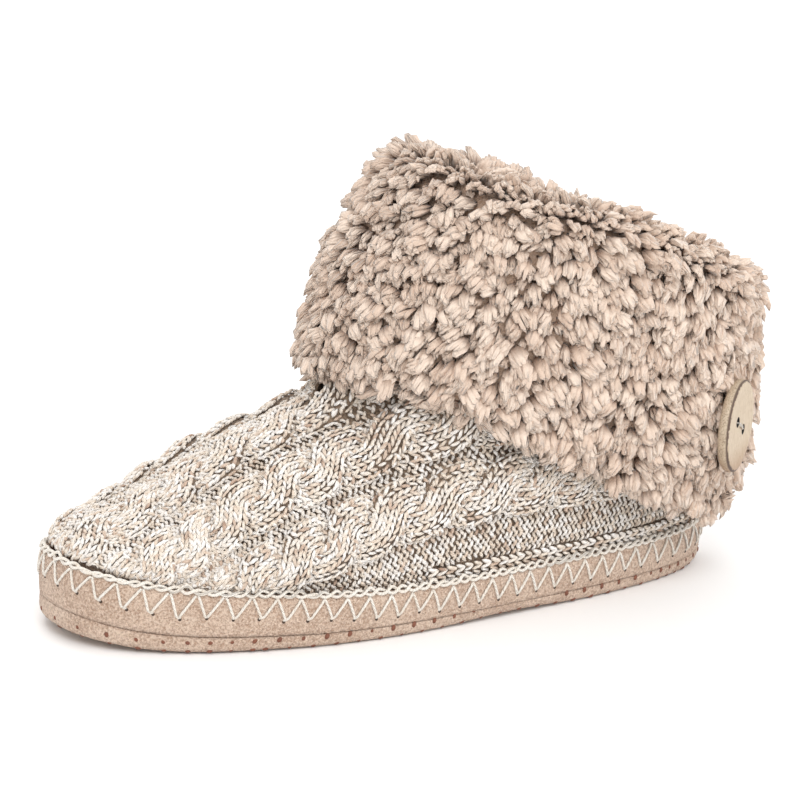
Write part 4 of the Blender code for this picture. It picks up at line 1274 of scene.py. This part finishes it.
with reshaping(mesh) as shape:
    rings = [[shape.verts.new((BUTTON_RADIUS * share * wave * cos(t),
                               BUTTON_RADIUS * share * wave * sin(t), BUTTON_THICK * height))
              for wave, t in zip(waves, turns)] for share, height in BUTTON_PROFILE[1:-1]]
    front, rear = (shape.verts.new((0, 0, BUTTON_THICK * BUTTON_PROFILE[end][1]))
                   for end in (0, -1))
    for k in range(BUTTON_STEPS):
        n = (k + 1) % BUTTON_STEPS
        shape.faces.new((front, rings[0][k], rings[0][n]))
        for a, b in zip(rings, rings[1:]):
            shape.faces.new((a[k], b[k], b[n], a[n]))
        shape.faces.new((rear, rings[-1][n], rings[-1][k]))
button = new_piece("coconut_button", mesh)
hole_way = Vector((cos(BUTTON_HOLE_TILT), sin(BUTTON_HOLE_TILT), 0)) * BUTTON_HOLE_GAP / 2
hole_ends = [hole_way * -1, hole_way]
cutters = []
for spot in hole_ends:
    mesh = bpy.data.meshes.new("hole_cutter")
    with reshaping(mesh) as shape:
        bmesh.ops.create_cone(shape, cap_ends=True, segments=20, radius1=BUTTON_HOLE,
                              radius2=BUTTON_HOLE, depth=0.02, matrix=Matrix.Translation(spot))
    cutters.append(new_piece("hole_cutter", mesh))
    work = button.modifiers.new("hole", "BOOLEAN")
    work.object, work.operation, work.solver = cutters[-1], "DIFFERENCE", "EXACT"
soften = button.modifiers.new("soften", "BEVEL")
soften.width, soften.segments = BUTTON_BEVEL, 2
soften.limit_method, soften.angle_limit = "ANGLE", BEVEL_ANGLE
settle(button)
for cutter in cutters:
    bpy.data.objects.remove(cutter)
button.data.transform(button_place)
local = np.array(button_place.inverted())
flat = corners_of(button.data)[0] @ local[:3, :3].T + local[:3, 3]
store(button.data, "grain", flat * 1000)


def coconut_material(name):
    """Pale coconut wood: soft streaks, dark pores, a bark edge round the rim and painted shadow in
    the two holes, in millimetres.
    """
    made, tree, surface = new_material(name)
    grain = stored_value(tree, "grain", "Vector")
    split = add_node(tree, "ShaderNodeSeparateXYZ", {0: grain}).outputs
    flat = reckon_way(tree, "MULTIPLY", grain, (1, 1, 0))
    stretch = reckon_way(tree, "MULTIPLY", grain, (0.9, 0.25, 1))
    wood = blend(tree, noise_at(tree, stretch, 1.1, 5.0), WOOD_DARK, WOOD_LIGHT)
    pores = add_node(tree, "ShaderNodeTexVoronoi", {"Vector": stretch, "Scale": 2.3})
    pore = span(tree, pores.outputs["Distance"], 0.10, 0.20)
    ragged = reckon(tree, "MULTIPLY_ADD", noise_at(tree, grain, 0.9, 4.0), 1.4,
                    reckon_way(tree, "LENGTH", flat))
    flakes = span(tree, noise_at(tree, grain, 2.6, 5.0), 0.50, 0.72, 0.0, 0.85)
    bark = blend(tree, span(tree, split["Z"], 1.5, 1.0), 1.0, flakes, "FLOAT")
    barked = blend(tree, reckon(tree, "MULTIPLY", span(tree, ragged, 15.9, 16.2), bark),
                   blend(tree, pore, WOOD_PORE, wood), WOOD_BARK)
    warm = blend(tree, span(tree, split["Y"], -6.0, -15.0, 0.0, 0.55), barked, WOOD_WARM,
                 blend_type="MULTIPLY")
    # The walls of the two holes and a thin ring round them are painted near-black: painted shadow.
    inside = reckon(tree, "MINIMUM", *(
        reckon_way(tree, "DISTANCE", flat, tuple(end * 1000)) for end in hole_ends))
    hole_shadow_share = span(tree, inside, BUTTON_HOLE * 1000 + 0.12, BUTTON_HOLE * 1000 + 0.05)
    finish_surface(tree, surface, blend(tree, hole_shadow_share, warm, WOOD_HOLE_SHADOW), pore, 0.35, 0.0002,
                   Roughness=0.55)
    return made


settle_in(button, "button", coconut_material("coconut_wood"))
tie = []
for lift, shift in ((0.0021, 0.0003), (0.0023, -0.0004)):
    line = []
    for share in np.linspace(0, 1, 13):
        spot = (hole_ends[0] * (1 - share) + hole_ends[1] * share) * TIE_REACH
        spot += Vector((0, shift, 0))
        dip = max(abs(share - 0.5) * 2 - 0.72, 0) / 0.28
        spot.z = lift - dip ** 2 * 0.0034
        line.append(button_place @ spot)
    tie.append(line)
knot = run_yarn("button_tie", tie, TIE_YARN, False, 0.25)
settle_in(knot, "button", seam_yarn)

# The insole: a removable foam sock pad covered in the same pile, laid loose on the tread and
# crowned a little in the middle. It shows only through the throat.
FLEECE_LUMP, FLEECE_RISE = 0.0028, 0.0010


def fleece_lumps(made, sized, rise):
    """Pushes a skin out into the small soft lumps of a short fleece, on its upper side."""
    spots, faces_out = corners_of(made.data)
    push = np.array([max(noise.noise(Vector(spot) / sized), -0.3) for spot in spots])
    push = np.array([max(noise.noise(Vector(spot) / sized), -0.3) for spot in spots])
    move_corners(made.data, spots + faces_out * (
        push * rise * np.clip(faces_out[:, 2] * 3, 0, 1))[:, None])


insole = smooth_copy("insole_pad", "insole", 3)
settled_toe(insole)
fleece_lumps(insole, FLEECE_LUMP, FLEECE_RISE)
settle_in(insole, "insole",
          nap_material("insole_fleece", PILE_LIGHT, PILE_MID, 0.35, 0.9, 0.0016))

# The lining: brushed fleece inside the knitted upper, from the insole up to the cuff's throat.
# It is cut to the upper's inner face, laid against the knit's back and sewn in at the collar.
LINING_WALL, LINING_BACK, THROAT_BACK, THROAT_REACH = 0.0008, 0.0008, 0.0034, 0.02
THROAT_X, THROAT_Z, SPINE_END, SPINE_LOW, SPINE_HIGH = 0.062, 0.045, 0.17, 0.02, 0.03
lining = smooth_copy("upper_lining", "upper", 1)
settled_toe(lining)


def faces_outwards(face):
    """Whether a face of the upper looks away from the foot."""
    middle = face.calc_center_median()
    spine = Vector((min(max(middle.x, 0.0), SPINE_END), 0,
                    min(max(middle.z, SPINE_LOW), SPINE_HIGH)))
    return (middle - spine).normalized().dot(face.normal) > 0.1


with reshaping(lining.data) as shape:
    bmesh.ops.delete(shape, geom=[f for f in shape.faces if faces_outwards(f)], context="FACES")
spots, faces_out = corners_of(lining.data)
at_throat = np.clip((spots[:, 0] - THROAT_X) / THROAT_REACH, 0, 1) * np.clip(
    (spots[:, 2] - THROAT_Z) / THROAT_REACH, 0, 1)
spots += faces_out * (LINING_BACK + THROAT_BACK * at_throat)[:, None]
spots[:, 2] = eased_toe(spots[:, 0], spots[:, 2])
move_corners(lining.data, spots)
thickened(lining, LINING_WALL)
settle_in(lining, "upper",
          nap_material("lining_fleece", PILE_LIGHT, PILE_MID, 0.35, 0.9, 0.0018))
